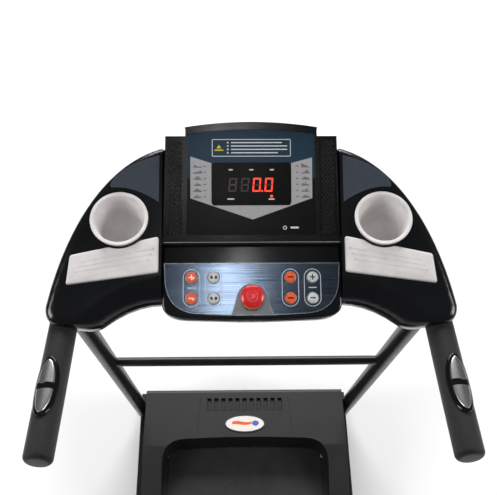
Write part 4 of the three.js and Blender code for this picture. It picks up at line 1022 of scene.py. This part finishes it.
STOP_Y = -114
bell = curve_points((-36, -143.0), ((-30, -128), (-27.5, -115)))
bell += curve_points((-27.5, -115), ((-22, -89.5), (0, -89.5)), ((22, -89.5), (27.5, -115)))[1:]
bell += curve_points((27.5, -115), ((30, -128), (36, -143.0)))[1:]
printed("stop_plate", [bell], panel, PLATE_TOP + 0.03, grey_steel, "control_aluminium", 0.5)
bell_inside = [(x * 0.96, y + (0.9 if y < -142 else -0.04 * (y + 116))) for x, y in bell]
printed("stop_plate_edge", ring_bands(bell, bell_inside), panel, PLATE_TOP + 0.5, chamfer,
        "control_aluminium", 0.08)
collar_profile = [(7.5, 0.6), (19.2, 0.6), (19.6, 1.6), (19.2, 4.2), (17.5, 5), (7.5, 5), (7.5, 0.6)]
piece("yellow_ring", turned("yellow_ring", collar_profile, at_panel(0, STOP_Y, PLATE_TOP), 56),
      yellow_abs, "base", "yellow_plastic", "stop_collar")
head_profile = [(0, -8), (6.8, -8), (6.8, 10.5), (17, 10.5), (18.9, 10.9), (19.8, 12.2), (20, 14.5),
                (19.7, 16.4), (18.7, 17.8), (17.0, 18.8), (14, 19.9), (11, 20.6), (8.5, 20.9),
                (7.6, 20.7), (7.0, 20.7), (6.0, 21.2), (4, 21.5), (2.4, 21.3), (0, 21.2)]
piece("stop_head", turned("stop_head", head_profile, at_panel(0, STOP_Y, PLATE_TOP), 64),
      red_abs, "stop_button", "red_plastic", "stop_button")

# ---- White pads beside the plate -----------------------------------------------------------------
# Hollow white ABS mouldings, clipped into the wings below the cup holders. Each has three sunk
# grooves, with a dot at the inner end of each, and a rolled upper edge.
PAD_TOP = 9.0
PAD_GAP = 51.6  # the pad's hollow runs this far from the cup's axis
CUP_MIDDLE = 19.2  # where the cup's axis meets the pad, up the slope


def rounded_run(corners, radius, steps=5):
    """A closed run of (x, y) corners, each rounded; one with a third value of 0 stays as it is."""
    rounded = []
    count = len(corners)
    for k in range(count):
        before, corner, after = (Vector(corners[(k + step) % count][:2]) for step in (-1, 0, 1))
        if len(corners[k]) == 3:
            rounded.append(tuple(corner))
            continue
        start = corner + (before - corner).normalized() * radius
        end = corner + (after - corner).normalized() * radius
        rounded += curve_points(tuple(start), (tuple(corner), tuple(end)), steps=steps)
    return rounded


PAD_INNER = 156.5
PAD_OUTER = 303
PAD_INNER_TOP = -12.5
PAD_OUTER_TOP = -43.5


def pad_edge(x):
    """The pad's upper edge: a straight line, hollowed round the cup."""
    drop = (PAD_INNER_TOP - PAD_OUTER_TOP) / (PAD_OUTER - PAD_INNER)
    line = PAD_INNER_TOP - (x - PAD_INNER) * drop
    off = x - CUP_X / MM
    if abs(off) >= PAD_GAP:
        return line
    return min(line, CUP_MIDDLE - math.sqrt(PAD_GAP ** 2 - off ** 2))


def pad_mesh(side):
    """A soft slab with its top edge rolled over."""
    back = [(x, pad_edge(x), 0) for x in range(290, 160, -4)]
    corners = rounded_run([(PAD_INNER, -73), (308.5, -93), (PAD_OUTER, PAD_OUTER_TOP), *back,
                           (PAD_INNER, PAD_INNER_TOP)], 4.5)
    levels = [(0.0, 0.35), (0.0, 5.0), (0.25, 6.6), (0.8, 7.9), (1.6, 8.7), (2.7, PAD_TOP)]
    work = bmesh.new()
    lofted(work, [[work.verts.new((x * side, y, height)) for x, y in inset_run(corners, inset)]
                  for inset, height in levels])
    mesh = closed_mesh("pad", work)
    mesh.transform(panel @ Matrix.Scale(MM, 4))
    return mesh


def cutter(name, mesh):
    """A shape that is only there to be cut away."""
    holder = bpy.data.objects.new(name, mesh)
    bpy.context.collection.objects.link(holder)
    return holder


def carved(made, tools):
    """The piece less its tools, which then go."""
    for tool in tools:
        cut = made.modifiers.new("cut", "BOOLEAN")
        cut.object = tool
        cut.operation = "DIFFERENCE"
        cut.solver = "FAST"
    settled(made)
    for tool in tools:
        bpy.data.objects.remove(tool)


GROOVES = 3
FIRST_GROOVE = 0.34  # of the pad's height, down from its upper edge
NEXT_GROOVE = 0.15
GROOVE_HALF = 0.8
GROOVE_FOOT = 8.2
ABOVE_PAD = 12
DOT_GAP = 3.5
DOT = [(0, 8.0), (1.7, 8.0), (2.0, ABOVE_PAD), (0, ABOVE_PAD)]


def groove_line(number):
    """The start and the end of a groove, which keeps its share of the pad's height all along."""
    share = FIRST_GROOVE + number * NEXT_GROOVE
    inner = -12 - share * 61
    outer = -43 - share * 50
    return [Vector((x, inner + (outer - inner) * (x - 156) / 150))
            for x in (168 + number * 4, 283 + number * 5)]


for word, side in SIDES.items():
    pad = piece(f"grooved_pad_{word}", pad_mesh(side), white_abs, "base", "white_plastic",
                f"pad_{word}")
    tools = []
    for number in range(GROOVES):
        start, end = groove_line(number)
        run = (end - start).normalized()
        across = Vector((-run.y, run.x)) * GROOVE_HALF
        outline = (start - across, end - across, end + across, start + across)
        work = bmesh.new()
        lofted(work, [[work.verts.new(panel @ (Vector((x * side, y, height)) * MM))
                       for x, y in outline] for height in (GROOVE_FOOT, ABOVE_PAD)])
        tools.append(cutter("groove", closed_mesh("groove", work)))
        x, y = start - run * (DOT_GAP / run.x)
        tools.append(cutter("dot", turned("dot", DOT, at_panel(x * side, y, 0), 16)))
    carved(pad, tools)
    smooth(pad.data, 34)

# ---- Speaker grilles and book ledge --------------------------------------------------------------
# Each grille is a moulded ABS panel of small raised diamonds in a thin frame, beside the display.
# The ledge below them is part of the display housing's moulding.
GRILLE_PITCH_X = 6.4
GRILLE_PITCH_Y = 8.0
GRILLE_INNER = 120.5
GRILLE_OUTER = 143.5
GRILLE_TAPER = 4 / 176  # inward for each mm up
GRILLE_FOOT = 10
GRILLE_HEAD = 168
DIAMOND_REACH = 0.42  # of the pitch, from a diamond's middle to its corner
CREST_REACH = 0.45  # of the diamond
GRILLE_FACE = -2.45
GRILLE_CREST = -1.2


def diamond(side, x, y, share, height):
    """Four corners round a place on the grille."""
    corners = []
    for dx, dy in ((1, 0), (0, 1), (-1, 0), (0, -1)):
        across = side * (x + dx * GRILLE_PITCH_X * share)
        corners.append(display @ (Vector((across, y + dy * GRILLE_PITCH_Y * share, height)) * MM))
    return corners


work = bmesh.new()
for side in (-1, 1):
    row = 0
    y = GRILLE_FOOT
    while y < GRILLE_HEAD:
        x = GRILLE_INNER + (GRILLE_PITCH_X / 2 if row % 2 else 0)
        while x < GRILLE_OUTER - GRILLE_TAPER * y:
            lofted(work, [[work.verts.new(corner) for corner in diamond(side, x, y, share, height)]
                          for share, height in ((DIAMOND_REACH, GRILLE_FACE),
                                                (DIAMOND_REACH * CREST_REACH, GRILLE_CREST))])
            x += GRILLE_PITCH_X
        y += GRILLE_PITCH_Y / 2
        row += 1
piece("speaker_grille", closed_mesh("speaker_grille", work), grained_abs, "base", "console_plastic")

# A raised rim frames the film and the two grilles.
rims = []
for side in (-1, 1):
    outer = [(side * 116.4, 3), (side * 150, 3), (side * 146.2, 175.2), (side * 113.6, 175.2)]
    inner = [(side * 118, 5), (side * 148.2, 5), (side * 144.4, 173.4), (side * 115.4, 173.4)]
    rims += ring_bands(outer, inner)
printed("grille_rim", rims, display, GRILLE_FACE, gloss_abs, "console_plastic", 1.6)
bezel_outer = curve_points((-112, 190.8), ((0, 208.8), (112, 190.8)))
bezel_outer += [(114.9, 8), (113, 2.4), (-113, 2.4), (-114.9, 8)]
bezel_inner = curve_points((-108.6, 186.8), ((0, 204.6), (108.6, 186.8)))
bezel_inner += [(111.2, 8), (109.8, 5.8), (-109.8, 5.8), (-111.2, 8)]
printed("film_rim", ring_bands(bezel_outer, bezel_inner), display, 0.0, gloss_abs,
        "console_plastic", 1.3)

# The ledge is a shallow tray with a rolled front lip; a phone or a book stands in it.
section = [(-10, 2), (-10, 6.2), (-9.2, 7.6), (-7.8, 8.2), (-6.2, 7.6), (-5.4, 6.2), (-5.4, 4.6),
           (2.5, 4.6), (2.5, 2)]
LIP_TOP_FROM = 5  # only what is higher than this drops at the ends
work = bmesh.new()
rings = []
for x, drop in ((-151.5, 1.6), (-150.4, 0.5), (-148, 0), (148, 0), (150.4, 0.5), (151.5, 1.6)):
    spots = [(x, y * (1 - drop * 0.06), h - (drop if h > LIP_TOP_FROM else 0)) for y, h in section]
    rings.append([work.verts.new(display @ (Vector(spot) * MM)) for spot in spots])
lofted(work, rings)
lip_mesh = closed_mesh("ledge_lip", work)
smooth(lip_mesh, 40)
piece("ledge_lip", lip_mesh, gloss_abs, "base", "console_plastic")

# ---- Motor hood ----------------------------------------------------------------------------------
# One large vacuum-formed ABS cover over the motor, with a grained skin, a shallow stepped field
# round its vents and an oval badge near the runner.
softened("motor_hood", hood_abs, "deck", "deck_plastic", 2.5, 3, 30)
HOOD_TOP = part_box("motor_hood")[1][2]
HOOD_EDGE = CONSOLE_Y + 0.098
hood_top = Matrix.Translation((0, HOOD_EDGE, HOOD_TOP))
step_lines = [[(side * x, y) for x, y in ((117, -12), (118.6, -12), (127.6, -120), (126, -120))]
              for side in (-1, 1)]
printed("hood_steps", step_lines, hood_top, 0.02, hood_abs, "deck_plastic", 1.4, "deck")

# The vents are slots between ribs; each slot has a thin raised lip.
VENTS = 11
VENT_PITCH = 19
lips = []
for k in range(VENTS):
    x = (k - (VENTS - 1) / 2) * VENT_PITCH
    outer = pill(x - 7.2, x + 7.2, -53.8, -18.2, 1.6, 3)
    inner = pill(x - 5.7, x + 5.7, -52.2, -19.8, 0.8, 3)
    lips += ring_bands(outer, inner)
printed("vent_lips", lips, hood_top, 0.02, hood_abs, "deck_plastic", 0.9, "deck")

# A black sheet under the vents is painted shade: it stands in for the dark inside of the hood.
printed("vent_shade_sheet", [pill(-112, 112, -56, -16, 2, 3)], hood_top, -6.5, hood_abs, "deck_plastic",
        1.2, "deck")

# The badge is a domed oval of white lacquered ABS in a dark moulded rim.
badge_abs = ink("badge_lacquer", "#ece6e2", "#e0d9d4", 0.3)
badge_rim = moulded_black("badge_rim", "#2c2d30", "#3a3b3e", 2, 0.01, 0.3, 0.4)
BADGE_Y = -92
rim_bands = ring_bands(oval(0, BADGE_Y, 55, 24.5, 40), oval(0, BADGE_Y, 51, 21.5, 40))
printed("badge_rim", rim_bands, hood_top, 0.05, badge_rim, "deck_plastic", 1.8, "deck")
printed("badge_field", [oval(0, BADGE_Y, 52, 22.5, 40)], hood_top, 0.05, badge_abs, "deck_plastic",
        1.2, "deck")
# A plain orange wave and a blue dot are printed on it.
orange_ink = ink("orange_ink", "#e8662c", "#dd5c26", 0.35)
blue_ink = ink("blue_ink", "#4d6fb0", "#4364a3", 0.35)
wave = [(-34 + 2.6 * k, 5.5 + 1.8 * math.sin(k / 3.2)) for k in range(21)]
wave_low = [(x, y - 8 + 1.2 * math.sin(x / 9)) for x, y in wave]
band = [(wave[k], wave[k + 1], wave_low[k + 1], wave_low[k]) for k in range(20)]
printed("badge_wave", [[(x, y + BADGE_Y) for x, y in quad] for quad in band], hood_top, 1.27,
        orange_ink, "orange_plastic", 0.1, "deck")
printed("badge_dot", [oval(28, BADGE_Y + 1, 9, 7.5, 40)], hood_top, 1.27, blue_ink, "display_film", 0.14,
        "deck")

# ---- Running belt, board, rollers and side steps -------------------------------------------------
# The belt is woven polyester faced with PVC, embossed with small lozenges that grip a shoe. It runs
# over two turned rollers and slides on a waxed board, between moulded side steps.
pvc_belt, tree, shader, place = finish("embossed_pvc_belt", 0.62, IOR=1.5)
mottled(tree, shader, place, "#101112", "#1a1b1d", 40)
# The lozenges are drawn 5 mm across, a little coarse, so that they show.
LOZENGE_MM = 5
turned_about = add_node(tree, "ShaderNodeMapping",
                        {"Rotation": (0, 0, math.radians(45)),
                         "Scale": (1000 / LOZENGE_MM, 1000 / LOZENGE_MM, 0)}, {"Vector": place})
lozenges = add_node(tree, "ShaderNodeTexVoronoi", {"Scale": 1.0, "Randomness": 0.05},
                    {"Vector": turned_about.outputs["Vector"]})
grained(tree, shader, lozenges.outputs["Distance"], 0.5)
worn(tree, shader, place, 0.5, 0.72, 120)

# Moulded rubber: matt, with a dusty bloom.
black_rubber, tree, shader, place = finish("moulded_rubber", 0.8, IOR=1.5)
mottled(tree, shader, place, "#141415", "#212122", 12)
worn(tree, shader, place, 0.7, 0.9, 20)
skin = add_node(tree, "ShaderNodeTexNoise", {"Scale": 1000 / 1.5, "Detail": 2.0}, {"Vector": place})
grained(tree, shader, skin.outputs["Fac"], 0.1)

# Fibreboard, waxed for the belt and coloured near black: painted shade where it shows beside the belt. Short
# fibres run along the deck.
shade_dark_board, tree, shader, place = finish("waxed_fibreboard", 0.4, IOR=1.48)
streaked(tree, shader, place, (0.3, 0.025, 0.3), 4.0, "#171310", "#2a231c", 0.0, 0.05)

# Rollers and pins are turned steel: fine rings round the axis, which lies along X.
turned_steel, tree, shader, place = finish("turned_steel", 0.32, 1.0)
mottled(tree, shader, place, "#8d9095", "#b4b7bb", 9)
around = add_node(tree, "ShaderNodeMapping", {"Scale": (1200, 8, 8)}, {"Vector": place})
lathe_lines = add_node(tree, "ShaderNodeTexNoise", {"Scale": 1.0, "Detail": 2.0},
                       {"Vector": around.outputs["Vector"]})
grained(tree, shader, lathe_lines.outputs["Fac"], 0.03)
worn(tree, shader, place, 0.24, 0.4, 14)

# Die-cast aluminium, dull and slightly pitted.
cast_alloy, tree, shader, place = finish("cast_aluminium", 0.5, 1.0)
mottled(tree, shader, place, "#8e9093", "#a9abae", 5)
pits = add_node(tree, "ShaderNodeTexNoise", {"Scale": 1000 / 1.2, "Detail": 3.0}, {"Vector": place})
grained(tree, shader, pits.outputs["Fac"], 0.12)

# The motor's drawn steel can is dipped in black enamel.
motor_enamel, tree, shader, place = finish("motor_enamel", 0.38, IOR=1.5)
mottled(tree, shader, place, "#1a1b1e", "#232528", 15)
worn(tree, shader, place, 0.3, 0.5, 25)

# Green solder mask over copper tracks, which show as low square ridges.
solder_mask, tree, shader, place = finish("green_solder_mask", 0.35, IOR=1.55)
mottled(tree, shader, place, "#12472b", "#1c5c39", 7)
traces = add_node(tree, "ShaderNodeTexVoronoi", {"Scale": 1000 / 9, "distance": "MANHATTAN"},
                  {"Vector": place})
grained(tree, shader, traces.outputs["Distance"], 0.08)

for node, radius in (("side_step_left", 1.5), ("side_step_right", 1.5), ("end_cap_left", 3),
                     ("end_cap_right", 3)):
    softened(node, hood_abs, "deck", "deck_plastic", radius, 3, 30)
# The board's near-black colour is painted shade.
softened("running_board", shade_dark_board, "deck", "board_wood", 1.0, 2, 30)
softened("motor_controller", cast_alloy, "deck", "cast_aluminium", 0.6, 2, 30)
softened("control_board", solder_mask, "base", "circuit_board", 0.3, 1, 30)

# Each side step has rows of raised anti-slip ribs along its top.
step_low, step_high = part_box("side_step_right")
step_top = Matrix.Translation((0, 0, step_high[2]))
RIBS = 5
RIB_PITCH = 6.5
RIB_HALF = 1.1
RIB_MARGIN = 12
rib_rear = step_low[1] / MM + RIB_MARGIN
rib_front = step_high[1] / MM - RIB_MARGIN
for word, side in SIDES.items():
    ribs = []
    for k in range(RIBS):
        x = (step_low[0] / MM + 14 + k * RIB_PITCH) * side
        ribs.append([(x - RIB_HALF, rib_rear), (x + RIB_HALF, rib_rear),
                     (x + RIB_HALF, rib_front), (x - RIB_HALF, rib_front)])
    printed(f"step_ribs_{word}", ribs, step_top, 0.0, black_rubber, "deck_plastic", 0.9, "deck")

# ---- Pieces that keep their own shape ------------------------------------------------------------
# The rest are plain machined, moulded or extruded parts, bolted or clipped where they are. They need
# only their finish.
slot_finish = {
    "frame_paint": powder_coat, "motor_paint": motor_enamel, "steel": turned_steel,
    "cast_aluminium": cast_alloy, "control_aluminium": dark_aluminium,
    "console_plastic": gloss_abs, "deck_plastic": hood_abs, "white_plastic": white_abs,
    "foam": foam, "sensor_plastic": sensor_abs, "belt_rubber": pvc_belt, "rubber": black_rubber,
    "board_wood": shade_dark_board, "display_film": printed_film, "display_lens": smoked_acrylic,
    "circuit_board": solder_mask, "orange_plastic": orange_abs, "silver_plastic": silver_abs,
    "red_plastic": red_abs, "yellow_plastic": yellow_abs,
}
# A modifier shades their round faces smooth and leaves edges over 30 degrees sharp.
shading = bpy.data.node_groups.new("smooth_by_angle", "GeometryNodeTree")
for way in ("INPUT", "OUTPUT"):
    shading.interface.new_socket("Geometry", in_out=way, socket_type="NodeSocketGeometry")
whole = add_node(shading, "NodeGroupInput")
fold = add_node(shading, "GeometryNodeInputMeshEdgeAngle")
steep = add_node(shading, "ShaderNodeMath", {"operation": "GREATER_THAN", 1: math.radians(30)},
                 {0: fold.outputs["Unsigned Angle"]})
smoothed = add_node(shading, "GeometryNodeSetShadeSmooth", {"domain": "FACE"},
                    {"Geometry": whole.outputs["Geometry"]})
sharpened = add_node(shading, "GeometryNodeSetShadeSmooth", {"domain": "EDGE", "Shade Smooth": False},
                     {"Geometry": smoothed.outputs["Geometry"], "Selection": steep.outputs["Value"]})
add_node(shading, "NodeGroupOutput", {}, {"Geometry": sharpened.outputs["Geometry"]})
for entry in record["subparts"]:
    node = frame["nodes"][entry["node"]]
    node.data.materials.clear()
    node.data.materials.append(slot_finish[entry["material_slot"]])
    node.modifiers.new("smooth_by_angle", "NODES").node_group = shading
